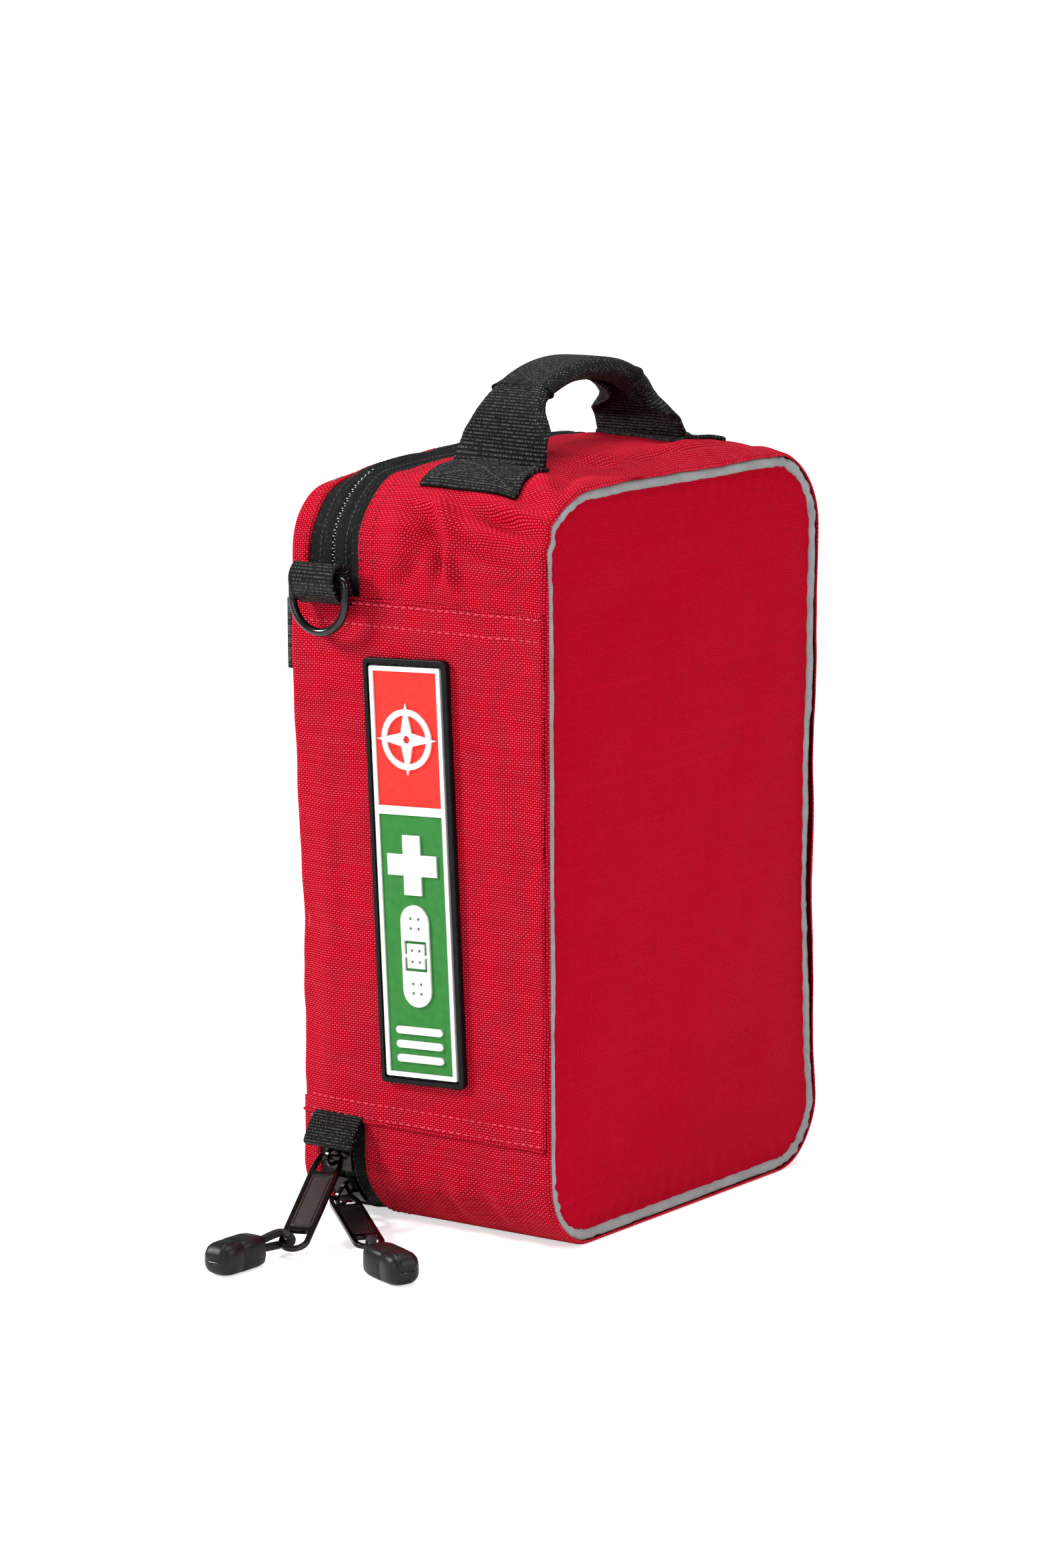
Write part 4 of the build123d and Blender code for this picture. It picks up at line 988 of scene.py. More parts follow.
def seam_in(run):
    """How far the front seam sags inward along the right side."""
    _, z, nx, _ = outline(run)
    return 3.4 * bell(z, 112.0, 72.0) * np.clip(nx, 0, 1) * ease(
        z, [14, 40, 225, 250], [0, 1, 1, 0])


def drawn_in(z):
    """Share of the draw-in of the left back edge, below the top row of webbing."""
    return ease(z, [8, 30, 100, 198], [0, 1, 1, 0])


def side_draw(y, z):
    """Draw-in share over the left side, growing toward the back."""
    return drawn_in(z) * ease(y, [38.0, 54.5], [0, 1])


def back_draw(x, z):
    """Draw-in share over the back, growing toward the left edge."""
    return bell(x, -HALF_WIDTH, 11.0) * drawn_in(z)


def simulated_swell(run, y):
    """The simulated wall, read between its grid points."""
    ys, grid = WALL_SWELL
    rows, columns = grid.shape
    row = np.clip(run / TOTAL * (rows - 1), 0, rows - 1.001)
    column = np.clip((y - ys[0]) / (ys[-1] - ys[0]) * (columns - 1), 0, columns - 1.001)
    i, j = row.astype(int), column.astype(int)
    a, b = row - i, column - j
    return (grid[i, j] * (1 - a) * (1 - b) + grid[i + 1, j] * a * (1 - b)
            + grid[i, j + 1] * (1 - a) * b + grid[i + 1, j + 1] * a * b)


def wall_push(run, y):
    """How far the soft wall stands off the plain outline, outward."""
    run = np.mod(run, TOTAL)
    x, z, nx, nz = outline(run)
    left, right = np.clip(-nx, 0, 1), np.clip(nx, 0, 1)
    dome = np.clip(1 - (x / 84.0) ** 2, 0, 1) ** 0.9
    out = ease(y, *TOP_DOME) * dome * np.clip(nz, 0, 1) ** 1.5
    tall = np.clip(1 - ((z - 132.5) / 118.0) ** 2, 0, 1)
    out = out + ease(y, *RIGHT_FULL) * tall * right * 1.2
    for *where, height in UPPER_FOLDS:
        out += fold(run, y, *where, height * UPPER_FOLD_GAIN)
    for past, *shape in LOWER_FOLDS:
        out += fold(run, y, SPAN["bottom_left"][0] + past, *shape)
    # the upper left corner is sunk at the back and a little squarer at the front
    out -= 4.0 * bell(run, 146.0, 16.0) * ease(y, [30.0, 54.5], [0, 1])
    out += 2.2 * bell(run, 119.0, 11.0) * ease(y, [-54.5, -30.0], [1, 0])
    # slow undulation everywhere, less toward the floor
    loose = 0.55 + 0.45 * np.clip(nz, -1, 1)
    out += waves(run, y, 38.0, seed=11) * 0.9 * (0.3 + 0.7 * loose) * np.clip(1 + nz, 0, 1)
    if WALL_SWELL is not None:
        out += simulated_swell(run, y)
    # flat behind the patch and where it stands on the floor
    out = out * (1 - left * ease(z, [20, 34, 225, 240], [0, 1, 1, 0]))
    floor = ease(nz, [-1.0, -0.55], [1, 0])
    out = out * (1 - floor)
    out -= 3.0 * left * side_draw(y, z)
    # the right side's seam rolls in, and the wall is pulled in next to the piping
    out -= seam_in(run) * np.exp(-(np.maximum(y - FRONT_Y, 0) / 2.2) ** 2)
    out -= 0.5 * bell(y, FRONT_Y, 3.0) * (1 - floor)
    return out


def wall_points(run, y, off=0.0):
    """Points of the soft wall, lifted off outward."""
    x, z, nx, nz = outline(run)
    push = wall_push(run, y) + off
    return stack(x + nx * push, y, z + nz * push)


# ---------------------------------------------------------------- wall sheets and zip
def band(name, span, ys, off, thick, material, step_run=1.6, step_y=1.6, profile=None,
         closed=False, v_offset=0.0):
    """A strip of the wall over a span of run and of y; profile adds height by y."""
    (start, end), (y0, y1) = span, ys
    runs = np.linspace(start, end, max(int(abs(end - start) / step_run), 2) + 1)
    if closed:
        runs = runs[:-1]
    run, y = lattice(runs, np.linspace(y0, y1, max(int(abs(y1 - y0) / step_y), 2) + 1))
    if profile is not None:
        off = off + profile(y)
    return sheet(name, wall_points(run, y, off), thick, stack(run, y + v_offset), material,
                 normals=wall_normals(run), closed=closed)


def rim_profile(y0, y1, reach=1.2):
    """Rounds a folded edge over at both sides of a strip."""
    def profile(y):
        a = np.clip((y - y0) / reach, 0, 1)
        b = np.clip((y1 - y) / reach, 0, 1)
        return -0.7 * ((1 - a) ** 2 + (1 - b) ** 2)
    return profile


def tape_profile(y):
    """A hump beside the zip line, a dipped edge and two sewn cords."""
    away = np.abs(y - ZIP_Y)
    return (0.7 * bell(away, 2.2, 1.6) - 0.8 * np.exp(-(away / 0.5) ** 2)
            + 0.18 * bell(away, 5.2, 0.45) + 0.18 * bell(away, 6.3, 0.45))


RUN_PANEL_TOP = PANEL_HIGH - HEIGHT / 2
RUN_PANEL_LOW = TOTAL - (HEIGHT / 2 - PANEL_LOW)
HIDDEN = 5.0            # length tucked under the side panel
BODY_SPAN = (RUN_PANEL_TOP, RUN_PANEL_LOW)
LID_SPAN = (SPAN["top_left"][1], SPAN["bottom_left"][0])
CORNER_SPANS = {"upper": (RUN_PANEL_TOP, LID_SPAN[0]), "lower": (LID_SPAN[1], RUN_PANEL_LOW)}
TUCKED_SPANS = {"upper": (RUN_PANEL_TOP - HIDDEN, LID_SPAN[0]),
                "lower": (LID_SPAN[1], RUN_PANEL_LOW + HIDDEN)}
LID_TAPE_YS = (ZIP_Y + 0.12, STRIP_Y + 3.0)


def gusset():
    piece = band("side_gusset_cloth", (0, TOTAL), (FRONT_Y, GUSSET_Y), 0.0, 0.8, "red_gusset",
                 1.5, 1.3, rim_profile(FRONT_Y, GUSSET_Y), closed=True, v_offset=CLOTH_V)
    attach(piece, "main_shell", "red_fabric", "side_gusset", "gusset_foam")


def tape_piece(name, span, ys):
    return band(name, span, ys, -1.05, 0.5, "tape", step_y=0.42, profile=tape_profile,
                v_offset=-ZIP_Y)


def strip_piece(name, span):
    return band(name, span, (STRIP_Y, BACK_Y), 0.0, 0.8, "red_gusset", step_y=0.75,
                profile=rim_profile(STRIP_Y, BACK_Y, 1.6), v_offset=CLOTH_V)


def only(condition, *names):
    return names if condition else ()


def tapes_and_strip():
    piece = tape_piece("zip_tape_body_side", (RUN_PANEL_TOP - HIDDEN, RUN_PANEL_LOW + HIDDEN),
                       (GUSSET_Y - 3.0, ZIP_Y - 0.12))
    attach(piece, "main_shell", "zip_tape", "zip_tape_front")
    piece = tape_piece("zip_tape_lid_side", LID_SPAN, LID_TAPE_YS)
    attach(piece, "lid", "zip_tape", "zip_tape_back")
    for end, span in TUCKED_SPANS.items():
        attach(tape_piece("zip_tape_corner_" + end, span, LID_TAPE_YS), CORNER, "zip_tape",
               *only(end == "upper", "zip_tape_ends"))
    attach(strip_piece("back_strip_cloth", LID_SPAN), "lid", "red_fabric", "back_strip")
    for end, span in TUCKED_SPANS.items():
        attach(strip_piece("back_strip_corner_" + end, span), CORNER, "red_fabric",
               *only(end == "upper", "back_strip_ends"))


def wall_row(name, span, y, off, material, body, **sizes):
    run = np.arange(*span, 1.0)
    points = wall_points(run, np.full_like(run, y), off)
    attach(stitches(name, points, wall_normals(run), material, **sizes), body)


def seam_stitches():
    gusset_row = dict(pitch=3.0, length=1.9, radius=0.26, sink=0.12)
    strip_row = dict(pitch=3.0, length=1.9, radius=0.22, sink=0.14)
    tape_row = dict(pitch=2.1, length=1.5, radius=0.20)
    strip_y = STRIP_Y + 1.5
    tape_off, tape_away = -0.85, 5.75
    for k, inset in enumerate((1.4, 6.2)):
        wall_row(f"gusset_stitch_{k}", BODY_SPAN, GUSSET_Y - inset, 0.05, "thread_dark",
                 "main_shell", **gusset_row)
    wall_row("strip_stitch_0", LID_SPAN, strip_y, 0.0, "thread_dark", "lid", **strip_row)
    for end, span in CORNER_SPANS.items():
        wall_row("strip_stitch_" + end, span, strip_y, 0.0, "thread_dark", CORNER, **strip_row)
    wall_row("tape_stitch_0", BODY_SPAN, ZIP_Y - tape_away, tape_off, "thread_grey",
             "main_shell", **tape_row)
    wall_row("tape_stitch_1", LID_SPAN, ZIP_Y + tape_away, tape_off, "thread_grey", "lid",
             **tape_row)
    for end, span in CORNER_SPANS.items():
        wall_row("tape_stitch_" + end, span, ZIP_Y + tape_away, tape_off, "thread_grey", CORNER,
                 **tape_row)


COIL_PITCH = 2.2


def coil_loops(name, span, side, phase, material="coil"):
    """Coil loops showing in the gap, reaching over the zip line from one side."""
    verts, faces = [], []
    sides = 6
    f = np.linspace(0, 1, 5)
    start_y, end_y = ZIP_Y + side * 0.95, ZIP_Y - side * 0.15
    for run in np.arange(span[0] + phase, span[1], COIL_PITCH):
        points = wall_points(np.full(5, run), start_y + (end_y - start_y) * f,
                             -1.15 + 0.35 * np.sin(PI * f) - 0.25)
        normal = wall_normals(np.array([run]))[0]
        across = np.cross([0, 1.0, 0], normal)
        faces += ring_faces(len(verts), 5, sides)
        for i, point in enumerate(points):
            radius = 0.23 if 0 < i < 4 else 0.14
            for q in range(sides):
                angle = q / sides * 2 * PI
                verts.append(point + (across * math.cos(angle) + normal * math.sin(angle))
                             * radius)
    verts = np.array(verts)
    return make_mesh(name, verts, faces, verts[:, :2], material)


def coil_bar(name, span, side):
    ys = sorted((ZIP_Y + side * 0.35, ZIP_Y + side * 2.6))
    return band(name, span, ys, -1.75, 1.6, "coil", 2.0, 0.5)


def coils():
    # the body's loops round the upper corner take a pale copy of the coil, a painted highlight
    highlight_end = LID_SPAN[0] - 4.0
    lid_phase = COIL_PITCH / 2
    attach(coil_loops("coil_loops_body", (highlight_end, RUN_PANEL_LOW), -1, 0.0),
           "main_shell", "zip_coil", "zip_coil_front")
    attach(coil_loops("coil_loops_body_corner", (RUN_PANEL_TOP, highlight_end), -1, 0.0,
                      "coil_painted_highlight"), "main_shell", "zip_coil")
    attach(coil_bar("coil_bar_body", (RUN_PANEL_TOP - 3, RUN_PANEL_LOW + 3), -1), "main_shell")
    attach(coil_loops("coil_loops_lid", LID_SPAN, 1, lid_phase), "lid", "zip_coil",
           "zip_coil_back")
    attach(coil_bar("coil_bar_lid", LID_SPAN, 1), "lid")
    for end, span in CORNER_SPANS.items():
        upper = end == "upper"
        piece = coil_loops("coil_loops_" + end, span, 1, lid_phase,
                           "coil_painted_highlight" if upper else "coil")
        attach(piece, CORNER, "zip_coil", *only(upper, "zip_coil_ends"))
        attach(coil_bar("coil_bar_" + end, span, 1), CORNER)


# ---------------------------------------------------------------- front and back panels
def disc_panel(name, inset, y_of, thick, material, facing, rings=60, step=1.8, follow=0.0):
    """A rounded panel facing -Y or +Y, as rings shrinking to a centre line.

    follow is the share of the wall's push that its rim follows.
    """
    count = int(TOTAL // step)
    run = np.arange(count) / count * TOTAL
    rim_x, rim_z, nx, nz = outline(run, inset)
    give = wall_push(run, np.full_like(run, FRONT_Y + 1.0 if facing < 0 else BACK_Y - 0.5))
    give = give * follow
    if facing < 0:
        give = give - 0.3 * seam_in(run)
    rim_x, rim_z = rim_x + nx * give, rim_z + nz * give
    line_z = np.clip(rim_z, HALF_WIDTH, HEIGHT - HALF_WIDTH)
    share = 1 - np.linspace(0, 1, rings)
    x = rim_x[:, None] * share
    z = line_z[:, None] + (rim_z - line_z)[:, None] * share
    off_x, off_z = np.abs(x), np.abs(z - HEIGHT / 2)
    inner_x, inner_z = HALF_WIDTH - CORNER_RADIUS, HEIGHT / 2 - CORNER_RADIUS
    edge = np.minimum.reduce([
        (HALF_WIDTH - inset) - off_x,
        (HEIGHT / 2 - inset) - off_z,
        np.where((off_x > inner_x) & (off_z > inner_z),
                 (CORNER_RADIUS - inset) - np.hypot(off_x - inner_x, off_z - inner_z), 1e9),
    ])
    y = y_of(x, z, np.maximum(edge, 0), run[:, None])
    points = stack(x, y, z).reshape(-1, 3)
    total = count * rings
    index = np.arange(total).reshape(count, rings)
    after = np.roll(index, -1, 0)
    corners = [index[:, :-1].ravel(), after[:, :-1].ravel(),
               after[:, 1:].ravel(), index[:, 1:].ravel()]
    outer = np.stack(corners, 1)
    if facing > 0:
        outer = outer[:, [0, 3, 2, 1]]
    p, q = index[:, 0], after[:, 0]
    rim = np.stack([p, q, q + total, p + total], 1)
    if facing < 0:
        rim = rim[:, ::-1]
    verts = np.concatenate([points, points - np.array([0, facing * thick, 0])])
    uv = np.concatenate([stack(x + 100, z).reshape(-1, 2)] * 2)
    faces = np.concatenate([outer, outer[:, ::-1] + total, rim])
    return tidy(make_mesh(name, verts, faces, uv, material), merge=True, dissolve=True)


def front_swell(x, z):
    """Simulated bulge of the front, 0 to about 1, averaged round each ring."""
    if FRONT_SWELL is None:
        return np.zeros_like(x)
    grid, centre = FRONT_SWELL
    out = np.maximum(np.abs(x) / HALF_WIDTH, np.abs(z - HEIGHT / 2) / (HEIGHT / 2))
    rise = np.interp(np.clip(out, 0, 1), RING_SHARES[:-1][::-1],
                     np.abs(grid).mean(1)[::-1], left=abs(centre))
    return rise / max(np.abs(grid).max(), 1e-6)


def front_y(x, z, edge, run):
    pillow = 1 - np.exp(-edge / 16.0)
    dome = (np.clip(1 - (x / 80.0) ** 2, 0, 1) ** 0.8
            * np.clip(1 - ((z - 132) / 128.0) ** 2, 0, 1) ** 0.6)
    lift = 1.6 * pillow + 1.7 * dome + 0.8 * front_swell(x, z) * dome
    pucker = (0.30 * np.sin(run / 8.5 * 2 * PI + 1.3 * np.sin(run / 37.0))
              * np.exp(-edge / 5.0) * (1 - np.exp(-edge / 1.2)))
    soft = waves(x, z, 70.0, seed=5) * 0.75 * pillow
    droop = (fold(x, z, -40, 236, 8, 46, 6.0, 0.7) - fold(x, z, -30, 226, 8, 50, 6.0, 0.6)
             + fold(x, z, 40, 30, -6, 40, 7, 0.6))
    back_in = 0.45 * seam_in(run) * np.exp(-edge / 14.0)
    return -52.9 - lift - pucker - soft - droop + back_in


def back_y(x, z, edge, run):
    pillow = 1 - np.exp(-edge / 14.0)
    soft = waves(x, z, 60.0, seed=8) * 0.25 * pillow
    return 53.8 + 0.65 * pillow + soft - 1.4 * back_draw(x, z)


def outer_panels():
    piece = disc_panel("front_panel_cloth", 3.9, front_y, 0.8, "red_front", -1, follow=0.9)
    attach(piece, "main_shell", "red_fabric", "front_panel", "front_foam")
    piece = disc_panel("back_panel_cloth", 0.9, back_y, 0.8, "red_gusset", 1, follow=1.0)
    attach(piece, "lid", "red_fabric", "back_panel", "lid_foam")


def piping():
    """Grey piping round the front, wrinkled at the corners, with a thicker stretch on the left."""
    run = np.arange(0, TOTAL, 1.0)
    x, z, nx, nz = outline(run, 3.3)
    push = wall_push(run, np.full_like(run, FRONT_Y + 1.0)) * 0.9 - 0.2 * seam_in(run)
    curved = np.zeros_like(run)
    for name in ("top_left", "top_right", "bottom_right", "bottom_left"):
        start, end = SPAN[name]
        curved += ease(run, [start - 14, start + 6, end - 6, end + 14], [0, 1, 1, 0])
    wrinkle = (waves_along(run, 5.0, seed=21) * (0.14 + 0.40 * np.clip(curved, 0, 1))
               + waves_along(run, 14.0, seed=22) * 0.10)
    radius = 2.02 + wrinkle + np.where((run > 58) & (run < 66), 0.12, 0)
    for knot_z in (170.0, 97.0, 88.0):          # small knots down the right side
        knot = SPAN["right"][0] + HEIGHT - CORNER_RADIUS - knot_z
        radius = radius + 0.35 * bell(run, knot, 1.1)
    y = -52.5 + 0.45 * seam_in(run) - waves_along(run, 46.0, seed=31) * 0.35
    piece = tube("piping_tube", stack(x + nx * push, y, z + nz * push), radius, "piping",
                 sides=14, closed=True, v_step=0.9)
    attach(piece, "main_shell", "piping", "front_piping")


# ---------------------------------------------------------------- side panel over the zip ends
# soft folds: z, y, degrees, length, width, height
PANEL_FOLDS = (
    (214, -30, 70, 16, 3.5, 0.7), (208, -36, 60, 18, 4.0, -0.6), (196, 36, -60, 14, 4.0, 0.6),
    (60, -34, 80, 20, 4.0, -0.6), (150, -38, 8, 30, 4.5, 0.6), (120, 33, 4, 30, 4.0, -0.5),
)


def panel_surface(z, y):
    edge = np.minimum(z - PANEL_LOW, PANEL_HIGH - z)
    puff = 0.55 * (1 - np.exp(-edge / 2.0))
    ripple = waves(z, y, 30.0, seed=41) * 0.45
    for shape in PANEL_FOLDS:
        ripple += fold(z, y, *shape)
    ripple *= 1 - np.exp(-edge / 4.0)
    under_patch = ease(np.abs(y), [20, 27], [1, 0]) * ease(np.abs(z - 130), [76, 84], [1, 0])
    ripple = ripple * (1 - under_patch)
    dent = 0.75 * bell(z, 168, 7.0) + 0.6 * bell(z, 110, 7.0) + 0.4 * bell(z, 66, 8.0)
    sag = 0.5 * waves(z, y * 0, 34.0, seed=44, octaves=2)
    x = -(86.35 + puff) - ripple + (dent + sag) * bell(y, BACK_Y, 9.0)
    x = np.minimum(x, -85.95)
    x = x + 0.22 * np.maximum(y - (BACK_Y - 2.0), 0) ** 1.3
    drawn = side_draw(y, z)
    x = x + 3.0 * drawn - 0.5 * bell(z, PANEL_LOW, 3.0)
    return stack(x, y - 1.2 * drawn, z)


def side_panel():
    side_y = (FRONT_Y + 0.8, BACK_Y - 0.2)
    zs = np.linspace(PANEL_LOW, PANEL_HIGH, 124)
    ys = np.linspace(*side_y, 78)
    z, y = lattice(zs, ys)
    points = panel_surface(z, y)
    piece = sheet("side_panel_cloth", points, 0.75, stack(z, y + CLOTH_V), "red_gusset",
                  normals=(-1, 0, 0))
    attach(piece, "main_shell", "red_fabric", "side_panel")

    # the board inside the side panel, bent to the same line
    z, y = lattice(np.linspace(47.0, 215.0, 60), np.linspace(26.5, 49.5, 18))
    drawn = side_draw(y, z)
    piece = sheet("side_board", stack(-84.5 + 3.0 * drawn, y - 1.2 * drawn, z), 0.9,
                  stack(z, y), "stiff_sheet", normals=(-1, 0, 0))
    attach(piece, "main_shell", None, "side_stiffener")

    for name, row_z in (("top_a", PANEL_HIGH - 1.6), ("top_b", PANEL_HIGH - 9.0),
                        ("low_a", PANEL_LOW + 1.5), ("low_b", PANEL_LOW + 6.8)):
        row_y = np.arange(FRONT_Y + 2, BACK_Y - 2, 1.0)
        i = int(np.interp(row_z, zs, np.arange(len(zs))))
        row_x = np.interp(row_y, ys, points[i, :, 0]) - 0.1
        attach(stitches("side_stitch_" + name, stack(row_x, row_y, row_z), (-1, 0, 0),
                        "thread_red", pitch=3.1, length=2.3, radius=0.32), "main_shell")

    # rolled folds at the upper and lower edge
    for name, row, edge_z, seed in (("top", -1, PANEL_HIGH - 0.1, 60),
                                    ("low", 0, PANEL_LOW + 0.1, 61)):
        row_y = np.linspace(*side_y, 90)
        row_x = np.interp(row_y, ys, points[row, :, 0]) + 0.25
        row_z = edge_z + waves_along(row_y, 22.0, seed) * 0.25
        attach(tube("side_panel_fold_" + name, stack(row_x, row_y, row_z), 0.62, "red_gusset",
                    v_step=0.4), "main_shell")


# ---------------------------------------------------------------- belt rows
BELT_HALF = 12.5
TACK_XS = [-81.0 + 40.5 * k for k in range(5)]
# rows from the lowest: z, inset of the left end, stand-off of that end
BELT_ROWS = ((56.0, 5.5, 0.0), (107.0, 5.5, 0.0), (158.0, 2.8, 0.0), (209.0, 0.6, 0.75))


def belt_rows():
    """Rows of webbing across the back, sewn down by zigzag bar tacks."""
    low, high = box_mm("belt_rows")
    for r, (row_z, inset, stand_off) in enumerate(BELT_ROWS):
        xs = np.linspace(low[0] + inset, high[0], 140)
        x, z = lattice(xs, np.linspace(row_z - BELT_HALF, row_z + BELT_HALF, 12))
        near = np.min(np.abs(x[..., None] - np.array(TACK_XS)), -1)
        bow = 0.9 * (1 - np.exp(-(near / 6.0) ** 2)) + 0.25 * waves(x, z, 50, 70 + r, 2)
        stand = stand_off * bell(x, xs[0], 5.0)
        y = 55.7 + bow * 0.9 + stand - 1.4 * back_draw(x, z)
        piece = sheet(f"belt_row_{r + 1}", stack(x, y, z), 1.2 + stand[..., None],
                      stack(x + 100, z), "web_black", normals=(0, 1, 0), flip=True)
        attach(piece, "lid", "black_webbing", *only(r == 0, "belt_rows"))
        for k, tack_x in enumerate(TACK_XS):
            tack_x = max(tack_x, float(xs[0]) + 2.2)
            q = np.arange(24)
            x = tack_x + np.where(q % 2, 0.9, -0.9)
            z = row_z - 11.5 + q
            zigzag = stack(x, 55.95 - 1.4 * back_draw(x, z), z)
            attach(tube(f"bar_tack_{r + 1}_{k}", zigzag, 0.33, "thread_black", sides=5), "lid")


# ---------------------------------------------------------------- CAD solids kept as they are
def dress(node, material, bevel=0.0, segments=2):
    """Gives a CAD solid its material, softened edges and weighted normals."""
    piece = NODES[node]
    piece.data.materials.clear()
    piece.data.materials.append(MATERIALS[material])
    if bevel:
        edge = piece.modifiers.new("edge", "BEVEL")
        edge.width = bevel / 1000.0
        edge.segments = segments
        edge.limit_method = "ANGLE"
        edge.angle_limit = math.radians(35)
    shade_smooth(piece.data)
    piece.modifiers.new("normals", "WEIGHTED_NORMAL").keep_sharp = True


def patch():
    dress("patch_base", "rubber_black", bevel=0.18)
    dress("patch_frame", "rubber_white", bevel=0.22)
    dress("patch_red_field", "rubber_red")
    dress("patch_green_field", "rubber_green")
    dress("patch_symbols", "rubber_white", bevel=0.18)
    tilt = math.radians(2.5)
    right = np.array([0, -math.cos(tilt), math.sin(tilt)])
    up = np.array([0, math.sin(tilt), math.cos(tilt)])
    centre = np.array([-88.35, 0.1, 130.0])
    half_width, half_height = 15.75, 72.75
    corners = np.array([(-1, -1), (1, -1), (1, 1), (-1, 1)]) * (half_width, half_height)
    loop = []
    for start, end in zip(corners, np.roll(corners, -1, 0)):
        for f in np.linspace(0, 1, 60, endpoint=False):
            u, v = start + (end - start) * f
            loop.append(centre + right * u + up * v)
    attach(stitches("patch_stitches", loop, (-1.0, 0, 0), "thread_black", pitch=3.4,
                    length=2.6, radius=0.28), "main_shell")


# ---------------------------------------------------------------- ring loop and grab tab
# side view of the ring loop: x, z, with the ring's bar at LOOP_BAR
LOOP_BAR = np.array([-93.0, 231.0])
LOOP_PATH = np.array([
    (-86.8, 222.6), (-90.6, 223.0), (-94.6, 225.6), (-96.6, 229.0), (-96.4, 232.6),
    (-94.0, 235.0), (-91.2, 234.6), (-89.6, 232.0), (-88.6, 228.6), (-87.2, 225.4),
    (-86.4, 224.0)])
# side view of the grab tab: x, z
TAB_PATH = np.array([
    (-86.9, 39.8), (-88.2, 38.9), (-90.4, 36.6), (-92.6, 33.6), (-94.3, 30.9), (-94.7, 29.5),
    (-94.1, 28.5), (-92.9, 28.5), (-91.9, 29.6), (-90.2, 32.4), (-88.4, 35.2), (-86.9, 36.6)])


def folded_web(name, node, path_xz, thick):
    """Webbing folded along a side view, as wide as the CAD node it replaces."""
    low, high = box_mm(node)
    path = resample(stack(path_xz[:, 0], 0.0, path_xz[:, 1]), 0.6)
    ys = np.linspace(low[1], high[1], 22)
    tangent = np.gradient(path, axis=0)
    tangent /= np.linalg.norm(tangent, axis=1, keepdims=True)
    normals = stack(-tangent[:, 2], 0.0, tangent[:, 0])[:, None]
    points = stack(path[:, None, 0], ys[None], path[:, None, 2])
    points[:, [0, -1]] -= normals * 0.25        # the two edges are rounded off
    piece = sheet(name, points, thick, stack(*lattice(arc_length(path), ys)), "web_black",
                  normals=normals)
    attach(piece, "main_shell", "black_webbing", node)


def ring_and_tab():
    dress("d_ring", "wire_black")
    bar_x, _, bar_z = (v * 1000 for v in JOINTS["ring_swing"]["pos_m"])
    loop = spline(LOOP_PATH + (np.array([bar_x, bar_z]) - LOOP_BAR), 90)
    folded_web("ring_loop_web", "ring_loop", loop[::-1], 1.1)
    folded_web("grab_tab_web", "grab_tab", TAB_PATH[::-1], 1.25)


# ---------------------------------------------------------------- handle
HANDLE_Y = -12.75
STRAP_HALF = 19.6
# upper line of the strap in side view: x, z
ARCH = np.array([
    (-54.2, 272.0), (-51.8, 277.0), (-50.4, 283.0), (-48.6, 288.5), (-45.0, 293.0),
    (-39.0, 296.8), (-30.0, 300.0), (-20.0, 302.0), (-9.0, 302.7), (2.0, 301.7),
    (11.0, 299.2), (18.5, 295.6), (23.6, 291.0), (26.6, 285.5), (28.8, 280.0),
    (31.0, 275.4), (33.6, 272.0)])


def top_run(x):
    return SPAN["top"][0] + (x + HALF_WIDTH - CORNER_RADIUS)


def top_at(x, y):
    return HEIGHT + wall_push(top_run(np.atleast_1d(x)), np.atleast_1d(y))


def handle_line():
    """Length, points and upward normals (x, z) of the arch, its ends set on the domed top."""
    knots = arc_length(ARCH)
    length = np.linspace(0, knots[-1], 120)
    arch = catmull(ARCH, length, knots)
    left_gap = top_at(-54, HANDLE_Y)[0] + 0.4 - arch[0, 1]
    right_gap = top_at(33, HANDLE_Y)[0] + 0.4 - arch[-1, 1]
    arch[:, 1] += (left_gap * np.exp(-length / 6.0)
                   + right_gap * np.exp(-(length[-1] - length) / 6.0))
    tangent = np.gradient(arch, axis=0)
    tangent /= np.linalg.norm(tangent, axis=1, keepdims=True)
    return length, arch, stack(-tangent[:, 1], tangent[:, 0])


HANDLE_LENGTH, HANDLE_ARCH, HANDLE_UP = handle_line()


def folded_place(length, flat, radius, angle):
    """Place out and up of a point this far across a strip that bends down after a flat part."""
    if length <= flat or angle < 1e-3:
        return length, 0.0
    if length <= flat + radius * angle:
        turn = (length - flat) / radius
        return flat + radius * math.sin(turn), -radius * (1 - math.cos(turn))
    rest = length - flat - radius * angle
    return (flat + radius * math.sin(angle) + rest * math.cos(angle),
            -radius * (1 - math.cos(angle)) - rest * math.sin(angle))


